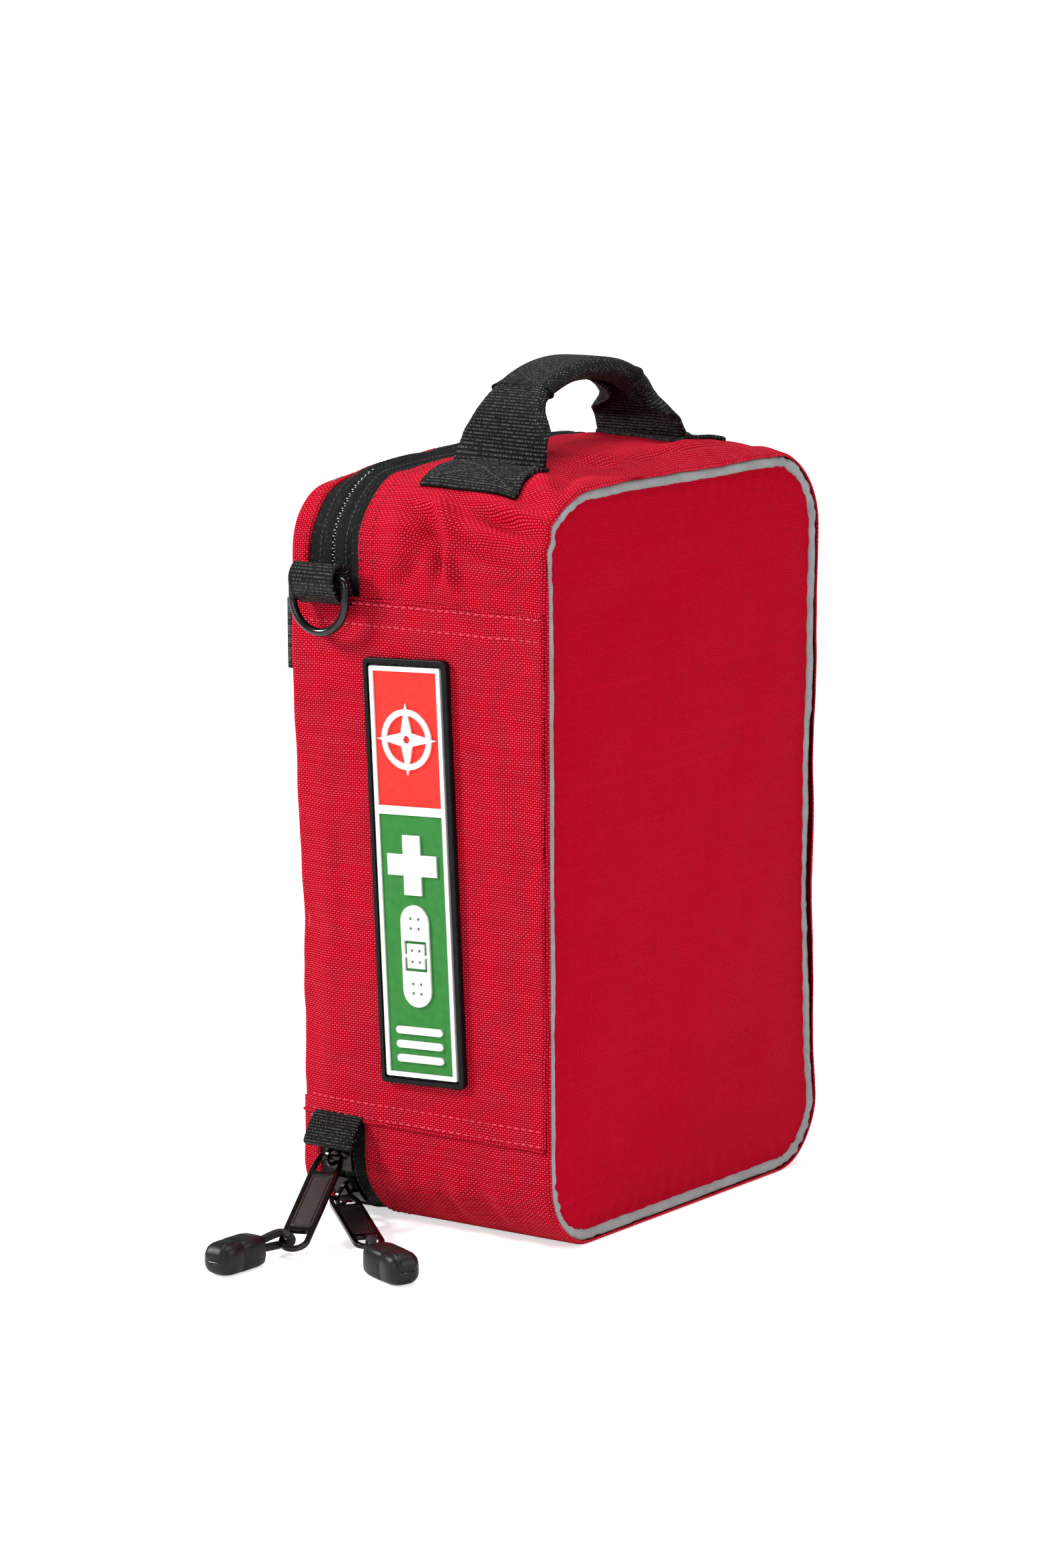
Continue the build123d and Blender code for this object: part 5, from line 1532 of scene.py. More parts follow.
def handle_strap():
    """Webbing flat at the feet and folded under itself along the grip."""
    length, end = HANDLE_LENGTH, HANDLE_LENGTH[-1]
    across = np.linspace(-1, 1, 41)
    fold_degrees = np.interp(length, [0, 5, 12, end - 12, end - 5, end],
                             [0, 30, 165, 165, 30, 0])
    half_flat = np.interp(
        length,
        [0, 6, 12, 18, 24, 30, end - 26, end - 20, end - 17, end - 13, end - 9, end - 5, end],
        [19.6, 17.8, 15.4, 12.0, 9.4, 8.5, 8.5, 9.2, 11.0, 14.8, 17.8, 19.2, 19.6])
    lean = 0.14 * np.interp(length, [0, 7, 20, 36, end - 30, end - 18, end - 7, end],
                            [0, 1, 1, 0, 0, 1, 0.6, 0])
    points = np.zeros((len(length), len(across), 3))
    for i, ((x, z), (up_x, up_z)) in enumerate(zip(HANDLE_ARCH, HANDLE_UP)):
        radius = 1.6 + 5 * (1 - fold_degrees[i] / 168.0)
        arched = math.sin(PI * min(1, length[i] / end))
        for j, a in enumerate(across):
            out, rise = folded_place(abs(a) * STRAP_HALF, half_flat[i], radius,
                                     math.radians(fold_degrees[i]))
            rise += -0.9 * a ** 2 * arched
            out = out if a >= 0 else -out
            points[i, j] = x + up_x * rise + lean[i] * out, HANDLE_Y + out, z + up_z * rise
    # the feet follow the domed top
    for k in range(8):
        weight = math.exp(-k / 2.5)
        for row in (points[k], points[-1 - k]):
            top = np.maximum(top_at(row[:, 0], row[:, 1]) + 0.5, row[:, 2] - 1.5)
            row[:, 2] = row[:, 2] * (1 - weight) + top * weight
    uv = stack(*lattice(length, across * STRAP_HALF))
    strap = sheet("handle_webbing", points, 1.35, uv, "web_black", flip=True)
    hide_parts("handle_strap")
    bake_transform(strap)


def handle_grip():
    """A sewn sleeve round the folded webbing, with a stitch line along each side."""
    seam, sides = 7.6, 40
    kept = np.where((HANDLE_ARCH[:, 0] > -41.5) & (HANDLE_ARCH[:, 0] < 15.0))[0]
    x, z = HANDLE_ARCH[kept].T
    up_x, up_z = HANDLE_UP[kept].T
    count = np.arange(len(kept))
    flare = 1.0 + 0.16 * np.exp(-np.minimum(count, count[::-1]) / 2.4)
    angle = (np.arange(sides) / sides * 2 * PI)[:, None]
    out = 11.4 * flare * signed_power(np.cos(angle), 0.55)
    rise = 2.9 * flare * signed_power(np.sin(angle), 0.75) - 1.7
    rise -= np.where(np.sin(angle) > 0, 0.45 * bell(np.abs(out), seam, 0.8), 0)
    points = stack(x + up_x * rise, HANDLE_Y + out, z + up_z * rise)
    points = np.concatenate([points, points[:1]], 0)
    uv = stack(*lattice(np.arange(sides + 1) * 0.62, HANDLE_LENGTH[kept]))
    attach(sheet("handle_grip_sleeve", points, 0.55, uv, "web_fine"), "handle", "grip_fabric",
           "handle_grip")
    for k, out in enumerate((-seam, seam)):
        line = stack(x + up_x * 0.85, HANDLE_Y + out, z + up_z * 0.85)
        attach(stitches(f"grip_stitch_{k}", line, stack(up_x, 0.0, up_z), "thread_pale",
                        pitch=2.8, length=2.0, radius=0.30), "handle")


def handle_anchors():
    """Webbing ends lying on the domed top, stitched with a box and a cross."""
    for side, x0, x1 in (("left", -73.8, -52.5), ("right", 31.5, 57.5)):
        runs = top_run(np.linspace(x0, x1, 26))
        run, y = lattice(runs, np.linspace(HANDLE_Y - STRAP_HALF, HANDLE_Y + STRAP_HALF, 34))
        edge = np.minimum(run - runs[0], runs[-1] - run)
        points = wall_points(run, y, 1.75 - 0.7 * np.exp(-edge / 0.8))
        piece = sheet("handle_anchor_" + side, points, 1.5, stack(run, y), "web_black",
                      normals=wall_normals(run))
        attach(piece, "main_shell", "black_webbing", *only(side == "left", "handle_anchors"))
        a, c = np.array([(x0 + 2.6, HANDLE_Y - 17.0), (x1 - 2.6, HANDLE_Y + 17.0)])
        b, d = np.array([(c[0], a[1]), (a[0], c[1])])
        for k, (p, q) in enumerate(((a, b), (b, c), (c, d), (d, a), (a, c), (d, b))):
            x, y = (p[:, None] + (q - p)[:, None] * np.linspace(0, 1, 40))
            run = top_run(x)
            attach(stitches(f"anchor_{side}_stitch_{k}", wall_points(run, y, 1.85),
                            wall_normals(run), "thread_grey", pitch=2.4, length=1.8,
                            radius=0.24), "main_shell")


# ---------------------------------------------------------------- sliders, pulls, cords
def curve_plate(name, loops, half_thick, bevel, placing, material):
    """A flat plate with holes and rounded edges, drawn in its own plane and then placed."""
    curve = bpy.data.curves.new(name, "CURVE")
    curve.dimensions = "2D"
    curve.fill_mode = "BOTH"
    for loop in loops:
        line = curve.splines.new("POLY")
        line.points.add(len(loop) - 1)
        for point, (a, b) in zip(line.points, loop):
            point.co = (a / 1000.0, b / 1000.0, 0, 1)
        line.use_cyclic_u = True
    curve.extrude = (half_thick - bevel) / 1000.0
    curve.bevel_depth = bevel / 1000.0
    curve.bevel_resolution = 2
    curve.offset = -bevel / 1000.0
    drawn = add_object(name + "_curve", curve)
    bpy.context.view_layer.update()
    depsgraph = bpy.context.evaluated_depsgraph_get()
    mesh = bpy.data.meshes.new_from_object(drawn.evaluated_get(depsgraph))
    bpy.data.objects.remove(drawn)
    bpy.data.curves.remove(curve)
    mesh.name = name
    mesh.transform(placing)
    mesh.materials.clear()
    mesh.materials.append(MATERIALS[material])
    shade_smooth(mesh)
    mesh.set_sharp_from_angle(angle=math.radians(50))
    return add_object(name, mesh)


def arc(centre_x, centre_y, radius, start, end, count):
    angles = [math.radians(start + (end - start) * k / count) for k in range(count + 1)]
    return [(centre_x + radius * math.cos(a), centre_y + radius * math.sin(a)) for a in angles]


def round_rect(x0, x1, half, r):
    return (arc(x1 - r, half - r, r, 90, 0, 5) + arc(x1 - r, -half + r, r, 0, -90, 5)
            + arc(x0 + r, -half + r, r, 270, 180, 5) + arc(x0 + r, half - r, r, 180, 90, 5))


def superloft(name, sections, origin, axes, material, sides):
    """Rounded-box sections (place, half width, low, high, power) joined along axes[0]."""
    along, across, up = axes
    verts, faces = [], []
    for place, half_width, low, high, power in sections:
        for angle in np.arange(sides) / sides * 2 * PI:
            v = signed_power(math.cos(angle), 2 / power) * half_width
            h = (low + high) / 2 + signed_power(math.sin(angle), 2 / power) * (high - low) / 2
            verts.append(origin + along * place + across * v + up * h)
    last = len(sections) - 1
    for i in range(last):
        for k in range(sides):
            k2 = (k + 1) % sides
            low, high = i * sides, (i + 1) * sides
            faces.append((low + k, low + k2, high + k2, high + k))
    faces.append(tuple(range(sides))[::-1])
    faces.append(tuple(last * sides + k for k in range(sides)))
    verts = np.array(verts)
    return tidy(make_mesh(name, verts, faces, verts[:, :2], material))


# holes of a pull in its plane: distance from the pivot, across
PULL_UPPER_EYE = [(0.9, -3.3), (5.0, -3.7), (8.3, -3.8), (9.3, -2.6), (9.5, 0), (9.3, 2.6),
                  (8.3, 3.8), (5.0, 3.7), (0.9, 3.3)]
PULL_LOWER_EYE = ([(43.4, 3.0), (43.4, -3.0), (44.0, -3.7)] + arc(47.8, 0, 3.7, -90, 90, 14)
                  + [(44.0, 3.7)])
PULL_HALF_THICK = 0.8
CORD_RADIUS = 1.5
# cord end sections: place from the cord's entry, half width, low, high, power
END_BODY = (
    (0.0, 3.9, 1.6, 9.4, 3.2), (0.35, 4.9, 0.8, 10.2, 3.6), (1.3, 5.5, 0.25, 10.7, 4.2),
    (4.0, 5.75, 0.0, 11.0, 4.6), (11.8, 5.8, 0.0, 11.05, 4.6), (12.3, 5.55, 0.15, 10.75, 4.6),
    (12.8, 5.55, 0.15, 10.75, 4.4), (13.4, 5.95, 0.0, 11.1, 4.0), (17.6, 6.0, 0.0, 11.1, 3.6),
    (19.8, 5.7, 0.3, 10.8, 3.2), (21.4, 4.9, 1.1, 9.9, 2.9), (22.3, 3.4, 2.3, 8.4, 2.6),
    (22.6, 1.6, 4.0, 6.8, 2.4))
END_TONGUE = (
    (13.8, 3.3, 5.2, 11.25, 4.5), (14.4, 3.55, 5.2, 11.5, 4.5), (18.2, 3.6, 5.2, 11.5, 4.5),
    (20.2, 3.6, 5.3, 11.1, 4.5), (21.7, 3.55, 5.6, 10.1, 4.5), (22.7, 3.4, 6.0, 8.6, 4.5),
    (22.95, 3.0, 6.4, 7.8, 4.5))
END_CLIP = ((20.4, 3.5, 4.3, 5.5, 6.0), (22.3, 3.1, 4.4, 5.5, 6.0), (22.85, 2.6, 4.5, 5.4, 6.0))
WORLD_UP = np.array([0, 0, 1.0])


def pull(k, body, pivot, axis):
    """A pull with two eyes and a sunk field; returns its direction and its upper normal."""
    points = np.array([v.co[:] for v in NODES[f"pull_{k}"].data.vertices]) * 1000.0
    along = points[np.argmax(np.linalg.norm(points - pivot, axis=1))] - pivot
    along -= axis * (along @ axis)
    length = float(np.linalg.norm(along))
    along /= length
    up, across = np.cross(along, axis), axis
    if up[2] < 0:
        up, across = -up, -axis
    placing = Matrix([(*row, 0) for row in zip(along, across, up)] + [(0, 0, 0, 1)])
    placing.translation = pivot / 1000
    rim = ([(-0.7, -4.2), (0.2, -4.6), (6.0, -5.5)] + arc(length - 5.5, 0, 5.5, -90, 90, 20)
           + [(6.0, 5.5), (0.2, 4.6), (-0.7, 4.2)])
    loops = [rim, PULL_UPPER_EYE, round_rect(11.3, 40.9, 3.9, 1.0), PULL_LOWER_EYE]
    piece = curve_plate(f"pull_{k}_frame", loops, PULL_HALF_THICK, 0.26, placing,
                        "black_nickel")
    attach(piece, body, "black_nickel", f"pull_{k}")
    attach(curve_plate(f"pull_{k}_sunk_field", [round_rect(10.9, 41.3, 4.3, 1.0)], 0.42, 0.05,
                       placing, "nickel_sunk"), body)
    bead = np.array([pivot + along * a + across * b + up * 0.42
                     for a, b in round_rect(12.2, 40.0, 3.1, 0.6)])
    bead = resample(np.vstack([bead, bead[:1]]), 0.7)[:-1]
    attach(tube(f"pull_{k}_bead_0", bead, 0.17, "black_nickel", sides=6, closed=True), body)
    return along, up


def cord(k, body, knot, entry, direction, pull_frame):
    """One loop through the pull's lower eye, both strands running into the cord end."""
    pivot, axis, along, up = pull_frame
    if k == 1:
        # over the side of the eye
        eye = pivot + along * 47.4
        rim, side, inner = eye + axis * 4.5, axis, eye + axis * 1.7
    else:
        # over the far end of the pull
        rim, side, inner = pivot + along * 52.2, along, pivot + along * 49.4
    rise = PULL_HALF_THICK + CORD_RADIUS + 0.1 + 0.15
    path = np.array([
        knot + WORLD_UP * 1.3, entry + WORLD_UP * 1.35 - direction * 1.0,
        rim + up * rise + side * 1.0, inner + up * 1.3, inner - up * 1.3,
        rim - up * rise + side * 1.0, entry - WORLD_UP * 1.35 - direction * 1.0,
        knot - WORLD_UP * 1.3])
    piece = tube(f"cord_{k}_braid", spline(path, 110), CORD_RADIUS, "cord", sides=14,
                 v_step=12 / 14)
    attach(piece, body, "cord", f"cord_{k}")


def cord_end(k, body, entry, direction):
    """Moulded cord end: a soft-edged body, a tongue and a metal clip at the far end."""
    base = entry.copy()
    base[2] = 0.12
    axes = (direction, np.cross(WORLD_UP, direction), WORLD_UP)
    attach(superloft(f"cord_end_{k}_body", END_BODY, base, axes, "moulding", 36), body,
           "black_moulding", f"cord_end_{k}")
    attach(superloft(f"cord_end_{k}_tongue", END_TONGUE, base, axes, "moulding", 32), body)
    attach(superloft(f"cord_end_{k}_clip", END_CLIP, base, axes, "black_nickel", 24), body)


def sliders():
    for k, level in ((1, "high"), (2, "low")):
        dress(f"slider_{k}", "black_nickel", bevel=0.35, segments=3)
        dress(f"slider_crown_{k}", "black_nickel", bevel=0.3, segments=3)
        swing = JOINTS[f"pull_{level}_swing"]
        pivot = np.array(swing["pos_m"]) * 1000.0
        axis = np.array(swing["axis"], float)
        axis /= np.linalg.norm(axis)
        along, up = pull(k, f"pull_{level}", pivot, axis)
        knot = np.array(JOINTS[f"toggle_{level}_bend"]["pos_m"]) * 1000.0
        low, high = box_mm(f"cord_end_{k}")
        direction = (low + high) / 2 - knot
        direction[2] = 0
        direction /= np.linalg.norm(direction)
        entry = knot - direction * 3.4
        cord(k, f"pull_{level}", knot, entry, direction, (pivot, axis, along, up))
        cord_end(k, f"toggle_{level}", entry, direction)


# ---------------------------------------------------------------- linings
# section of the fabric hinge: x past the board, y
HINGE_SECTION = np.array([
    (0, 26.2), (0, 29.0), (0, 32.5), (0, 36.0), (0, 39.0), (0, 42.0), (0, 45.0), (0, 48.0),
    (0, 50.0), (0.2, 50.6), (0.8, 51.2), (1.6, 51.7), (2.7, 52.2), (4.2, 52.3), (6.0, 52.35),
    (8.0, 52.4)])


def hinge():
    """Covers the side board and runs on to the lid."""
    section_x, section_y = HINGE_SECTION.T
    z, y = lattice(np.linspace(PANEL_LOW + 5.0, PANEL_HIGH - 5.0, 70), section_y)
    drawn = 3.0 * side_draw(np.minimum(y, 50.6), z)
    piece = sheet("hinge_lining", stack(-82.95 + drawn + section_x, y, z), 0.5,
                  stack(z, arc_length(HINGE_SECTION)), "lining_grey", flip=True)
    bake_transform(piece)


def flat_lining(name, y, inset, facing, seed, body, replaced):
    def y_of(x, z, edge, run):
        return y + facing * (waves(x, z, 55.0, seed) * 0.3 * (1 - np.exp(-edge / 12.0)))
    piece = disc_panel(name, inset, y_of, 0.5, "lining_grey", facing, rings=40, step=4.0)
    attach(piece, body, "lining", replaced)


def linings():
    piece = band("gusset_lining_cloth", (0, TOTAL), (-48.4, GUSSET_Y - 0.5), -3.4, 0.4,
                 "lining_grey", 3.0, 3.0, closed=True, v_offset=CLOTH_V)
    attach(piece, "main_shell", "lining", "gusset_lining")
    hinge()
    flat_lining("front_lining_cloth", -48.7, 3.6, 1, 81, "main_shell", "front_lining")
    flat_lining("lid_lining_cloth", 50.0, 2.4, -1, 82, "lid", "lid_lining")


def net_pocket():
    """Crossed strands in a diamond pattern, with a bound top edge."""
    low, high = box_mm("lid_pocket")
    (x0, y0, z0), (x1, y1, z1) = low, high
    cell, radius = 4.2, 0.28
    depth = np.array([0, 1, 0])
    verts, faces = [], []

    def net_y(x, z):
        fx, fz = (x - x0) / (x1 - x0), (z - z0) / (z1 - z0)
        return y1 - (y1 - y0) * min(1.0, 6 * fx, 6 * (1 - fx), 5 * fz + 0.05)

    def strand(start, end):
        start, end = (np.array((x, net_y(x, z), z), float) for x, z in (start, end))
        across = np.cross((end - start) / np.linalg.norm(end - start), depth)
        across /= np.linalg.norm(across)
        base = len(verts)
        for point in (start, end):
            for q in range(4):
                angle = q / 4 * 2 * PI + PI / 4
                verts.append(point + across * radius * math.cos(angle)
                             + depth * radius * math.sin(angle))
        for q in range(4):
            q2 = (q + 1) % 4
            faces.append((base + q, base + q2, base + 4 + q2, base + 4 + q))
        faces.append((base + 3, base + 2, base + 1, base))
        faces.append((base + 4, base + 5, base + 6, base + 7))

    for i in range(int((x1 - x0) / cell)):
        for j in range(int((z1 - z0) / cell)):
            xa, xb = x0 + i * cell, x0 + (i + 1) * cell
            za, zb = z0 + j * cell, z0 + (j + 1) * cell
            strand((xa, za), (xb, zb))
            strand((xb, za), (xa, zb))
    verts = np.array(verts)
    piece = make_mesh("lid_net_pocket", verts, faces, verts[:, [0, 2]], "net_black")
    attach(piece, "lid", "net", "lid_pocket")
    x = np.linspace(x0, x1, 60)
    edge = stack(x, np.array([net_y(a, z1) - 0.2 for a in x]), z1 + 0.6 * np.sin(x / 9.0))
    angle = np.arange(16) / 16 * 2 * PI
    piece = tube("lid_pocket_edge", edge, 1.0, "binding_black", v_step=0.7,
                 section=stack(np.cos(angle) * 5.0, np.sin(angle) * 0.9))
    attach(piece, "lid", "black_binding", "lid_pocket_binding")


def leaflet():
    low, high = box_mm("leaflet")
    for k in range(3):
        x, z = lattice(np.linspace(low[0] + k * 0.5, high[0] - k * 0.3, 30),
                       np.linspace(low[2] + k * 0.4, high[2] - k * 0.8, 40))
        y = 43.4 + k * 1.0 + 0.25 * waves(x, z, 60, 90 + k, 2)
        piece = sheet(f"leaflet_sheet_{k + 1}", stack(x, y, z), 0.25, stack(x, z),
                      "leaflet_paper", normals=(0, -1, 0))
        attach(piece, "lid", "printed_paper", *only(k == 0, "leaflet"))


def divider():
    """A rounded cloth leaf inside the shell, bound round its edge."""
    low, high = box_mm("divider")
    centre_z = (low[2] + high[2]) / 2
    half_x, half_z = (high[0] - low[0]) / 2, (high[2] - low[2]) / 2
    radius = 16.0
    x, z = lattice(np.linspace(-half_x, half_x, 70), np.linspace(-half_z, half_z, 100))
    # grid points past the corner arcs are drawn back onto them
    past_x = np.maximum(np.abs(x) - (half_x - radius), 0)
    past_z = np.maximum(np.abs(z) - (half_z - radius), 0)
    past = np.hypot(past_x, past_z)
    share = np.where(past > radius, radius / np.maximum(past, 1e-6), 1.0)
    x = np.sign(x) * (np.minimum(np.abs(x), half_x - radius) + past_x * share)
    z = np.sign(z) * (np.minimum(np.abs(z), half_z - radius) + past_z * share)
    piece = sheet("divider_cloth", stack(x, -15.9 + 0.5 * waves(x, z, 60, seed=95), z + centre_z),
                  0.7, stack(x + 100, z + 150), "lining_red", normals=(0, 1, 0), flip=True)
    attach(piece, "main_shell", "lining", "divider")
    in_x, in_z = half_x - 1.5 - radius, half_z - 1.5 - radius
    rim = np.array(arc(in_x, in_z, radius, 0, 90, 12) + arc(-in_x, in_z, radius, 90, 180, 12)
                   + arc(-in_x, -in_z, radius, 180, 270, 12)
                   + arc(in_x, -in_z, radius, 270, 360, 12))
    rim = resample(stack(rim[:, 0], -16.1, rim[:, 1] + centre_z), 3.0)
    piece = tube("divider_edge", rim, 1.6, "binding_black", closed=True, sides=12, v_step=0.8)
    attach(piece, "main_shell", "black_binding", "divider_binding")


# ---------------------------------------------------------------- supplies
# bandage rolls: centre x, centre y, radius, low z, high z
ROLLS = ((-53.5, 7.6, 21.0, 12.0, 92.0), (-9.0, 7.6, 21.0, 12.0, 92.0),
         (-50.4, 7.6, 17.0, 170.0, 230.0))
BOTTLE = (34.5, 5.0, 17.0)      # round the antiseptic bottle: x, y, radius


def elastic(name, x0, x1, limit_y, z0, z1, rounds, *replaced):
    """An elastic band stretched over round things, each x, y, radius."""
    count = 90
    x = np.linspace(x0, x1, count)
    y = np.full(count, -14.0)
    for centre_x, centre_y, radius in rounds:
        inside = np.abs(x - centre_x) < radius + 1.2
        arch = centre_y + np.sqrt(np.maximum((radius + 1.1) ** 2 - (x - centre_x) ** 2, 0))
        y = np.where(inside, np.maximum(y, arch), y)
    # pull the band nearly straight across the valleys
    hull = y.copy()
    for i in range(count):
        for j in range(i + 2, count, 3):
            line = y[i] + (y[j] - y[i]) * (np.arange(i, j + 1) - i) / (j - i)
            part = hull[i:j + 1]
            hull[i:j + 1] = np.maximum(part, line * 0.75 + part * 0.25)
    hull = np.minimum(hull, limit_y)
    x, z = lattice(x, np.linspace(z0, z1, 9))
    attach(sheet(name, stack(x, hull[:, None], z), 0.8, stack(x, z), "elastic_black",
                 flip=True), "main_shell", "elastic", *replaced)


def elastics():
    elastic("elastic_lower", -76.4, 54.4, 30.3, 42.0, 62.0,
            [ROLLS[0][:3], ROLLS[1][:3], BOTTLE], "elastic_bands")
    elastic("elastic_upper", -70.4, -30.4, 26.4, 190.0, 210.0, [ROLLS[2][:3]])


def bandage_roll(name, centre_x, centre_y, radius, z0, z1):
    """A spiral of gauze about a vertical axis."""
    turns, core = 9, 2.6
    growth = radius - 2.9
    count = turns * 36 + 1
    f = np.arange(count) / (count - 1)
    angle = f * turns * 2 * PI
    reach = core + growth * f
    x, y = centre_x + reach * np.cos(angle), centre_y + reach * np.sin(angle)
    middle = (z0 + z1) / 2
    zs = np.array([z0 + 0.6, z0, z0 + 0.4, middle, z1 - 0.4, z1, z1 - 0.6])
    wobble = waves_along(np.arange(count) * 1.0, 40.0, int(abs(centre_x)) + 3) * 0.5
    z = zs[None] + wobble[:, None] * np.sign(zs - middle)[None]
    normals = stack((x - centre_x) / reach, (y - centre_y) / reach, 0.0)[:, None]
    uv = stack(*lattice(arc_length(stack(x, y)), zs))
    return sheet(name, stack(x[:, None], y[:, None], z), growth / turns * 0.82, uv, "gauze",
                 normals=normals)


def bandage_rolls():
    for k, place in enumerate(ROLLS):
        attach(bandage_roll(f"bandage_roll_{k + 1}", *place), "main_shell", "gauze",
               *only(k == 0, "bandage_rolls"))


def pouch(name, low, high, material, seed):
    """A filled pouch: full in the middle, thin crimped edges, creased."""
    count = 64
    u, v = lattice(np.linspace(-1, 1, count), np.linspace(-1, 1, count))
    x, y, z = (low + high) / 2
    half_x, half_y, half_z = (high - low) / 2
    full = (np.clip(1 - np.abs(u) ** 5, 0, 1) * np.clip(1 - np.abs(v) ** 5, 0, 1)) ** 0.55
    crease = (waves(u * half_x, v * half_z, 26.0, seed, 4) * 0.10
              + waves(u * half_x, v * half_z, 9.0, seed + 1, 2) * 0.04)
    thick = np.maximum(np.clip(full * (0.9 + crease), 0.0, 1.0) * half_y, 0.35)
    x = x + u * half_x * (1 - 0.03 * np.abs(np.sin(v * 9)) * np.abs(u) ** 8)
    z = z + v * half_z * (1 - 0.03 * np.abs(np.sin(u * 9)) * np.abs(v) ** 8)
    verts = np.concatenate([stack(x, y + side * thick, z).reshape(-1, 3) for side in (-1, 1)])
    total = count * count
    index = np.arange(total).reshape(count, count)
    front = np.stack([index[:-1, :-1].ravel(), index[1:, :-1].ravel(),
                      index[1:, 1:].ravel(), index[:-1, 1:].ravel()], 1)
    ring = np.concatenate([index[:, 0], index[-1, 1:], index[-2::-1, -1], index[0, -2:0:-1]])
    after = np.roll(ring, -1)
    sides = np.stack([ring, ring + total, after + total, after], 1)
    faces = np.concatenate([front, front[:, [0, 3, 2, 1]] + total, sides])
    uv = np.concatenate([stack(x, z).reshape(-1, 2)] * 2)
    return make_mesh(name, verts, faces, uv, material)


def pouches():
    for name, node, material, seed, slot in (
            ("foil_blanket_pouch", "foil_blanket", "foil", 101, "foil_pouch"),
            ("sling_pack_wrap", "sling_pack", "clear_wrap", 103, "sling_wrap")):
        attach(pouch(name, *box_mm(node), material, seed), "main_shell", slot, node)
    low, high = box_mm("gauze_packs")
    for k in range(5):
        pack_low, pack_high = low.copy(), high.copy()
        pack_low[1] = low[1] + 4.3 * k
        pack_high[1] = pack_low[1] + 3.8
        piece = pouch(f"gauze_sachet_{k + 1}", pack_low, pack_high, "sachet", 110 + k)
        attach(piece, "main_shell", "gauze_paper", *only(k == 0, "gauze_packs"))


def hard_supplies():
    for node, material, bevel in (
            ("plaster_box", "carton", 0.3), ("antiseptic_bottle", "amber", 0.2),
            ("bottle_cap", "cap_plastic", 0.3), ("tweezers", "steel", 0.2),
            ("scissors_blade_a", "steel", 0.25), ("scissors_blade_b", "steel", 0.25),
            ("scissors_rivet", "steel", 0.3)):
        dress(node, material, bevel)


def plaster_roll():
    """A ring of sticking plaster about a Y axis, its flat faces faintly grooved."""
    low, high = box_mm("plaster_tape")
    centre_x, centre_z = (low[0] + high[0]) / 2, (low[2] + high[2]) / 2
    outer, inner = (high[0] - low[0]) / 2, 14.6
    grooves = np.arange(12)
    radius = np.concatenate([inner + (outer - inner) * grooves / 11.0,
                             outer - (outer - inner) * grooves / 11.0])
    y = np.repeat([low[1], high[1]], 12)
    wobble = 0.18 * np.sin(radius * 5.0)
    angle = np.linspace(0, 2 * PI, 97)[:, None]
    points = stack(centre_x + radius * np.cos(angle), y + np.where(y < 0, wobble, -wobble),
                   centre_z + radius * np.sin(angle))
    rows, columns = points.shape[:2]
    index = np.arange(rows * columns).reshape(rows, columns)
    faces = []
    for i in range(rows - 1):
        for j in range(columns):
            j2 = (j + 1) % columns
            faces.append((index[i, j], index[i, j2], index[i + 1, j2], index[i + 1, j]))
    uv = stack(angle * outer, y + radius).reshape(-1, 2)
    piece = make_mesh("sticking_plaster_roll", points.reshape(-1, 3), faces, uv, "plaster_skin")
    attach(tidy(piece, merge=True), "main_shell", "sticking_plaster", "plaster_tape")


# ---------------------------------------------------------------- stage, lights, camera (m)
def stage_floor():
    bpy.ops.mesh.primitive_plane_add(size=60.0, location=(0, 0, 0))
    floor = bpy.context.object
    floor.name = "floor"
    floor.data.materials.append(MATERIALS["floor"])


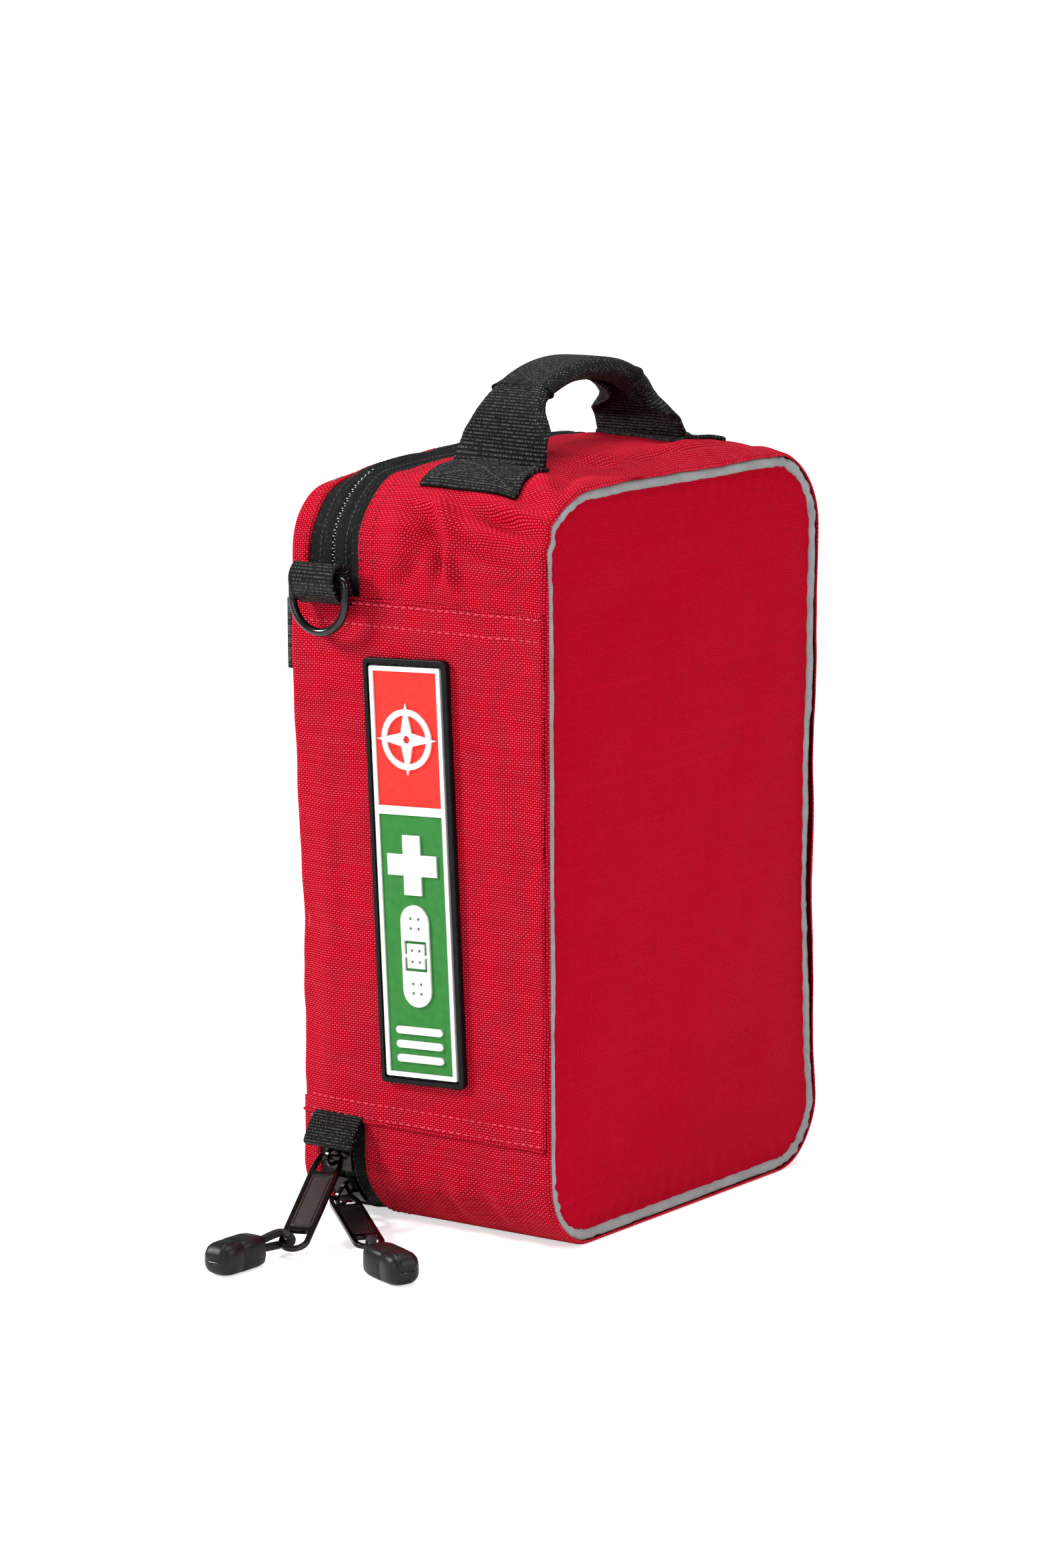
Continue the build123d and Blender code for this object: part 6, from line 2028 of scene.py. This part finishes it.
def studio_world():
    """White to the camera, dim as a light."""
    world = bpy.data.worlds.new("studio")
    bpy.context.scene.world = world
    world.use_nodes = True
    tree = world.node_tree
    background = tree.nodes["Background"]
    background.inputs["Color"].default_value = (1.0, 1.0, 1.0, 1.0)
    rays = tree.nodes.new("ShaderNodeLightPath")
    level = tree.nodes.new("ShaderNodeMapRange")
    level.inputs["To Min"].default_value = 0.24
    level.inputs["To Max"].default_value = 1.0
    tree.links.new(rays.outputs["Is Camera Ray"], level.inputs[0])
    tree.links.new(level.outputs[0], background.inputs["Strength"])


def area_light(name, place, aim_z, size, power):
    """A square light aimed at a height on the case's middle line."""
    data = bpy.data.lights.new(name, "AREA")
    data.shape = "RECTANGLE"
    data.size = data.size_y = size
    data.energy = power
    light = add_object(name, data)
    light.location = place
    aim = Vector((0, 0, aim_z)) - Vector(place)
    light.rotation_euler = aim.to_track_quat("-Z", "Y").to_euler()


def lights():
    area_light("key", place=(-0.90, 1.05, 1.00), aim_z=0.14, size=0.35, power=27)
    area_light("side", place=(-1.60, -0.25, 0.55), aim_z=0.13, size=0.8, power=7)
    area_light("fill", place=(0.15, -1.7, 0.85), aim_z=0.13, size=0.8, power=12)
    area_light("top", place=(0.15, -0.1, 1.4), aim_z=0.2, size=0.8, power=13)


def camera():
    data = bpy.data.cameras.new("camera")
    piece = add_object("camera", data)
    data.lens = 118.27
    data.sensor_width = 36.0
    data.clip_start = 0.05
    right = (0.58400, -0.81174, -0.00547)
    up = (0.14505, 0.09772, 0.98459)
    backward = (-0.79869, -0.57579, 0.17481)
    place = (-1.48675, -1.05430, 0.47216)
    piece.matrix_world = Matrix([*zip(right, up, backward, place), (0, 0, 0, 1)])
    bpy.context.scene.camera = piece
    bpy.context.scene.view_settings.view_transform = "Standard"


for build in (gusset, tapes_and_strip, seam_stitches, coils, outer_panels, piping, side_panel,
              belt_rows, patch, ring_and_tab, handle_strap, handle_grip, handle_anchors,
              sliders, linings, net_pocket, leaflet, divider, elastics, bandage_rolls,
              pouches, hard_supplies, plaster_roll, stage_floor, studio_world, lights, camera):
    build()

bpy.context.view_layer.update()
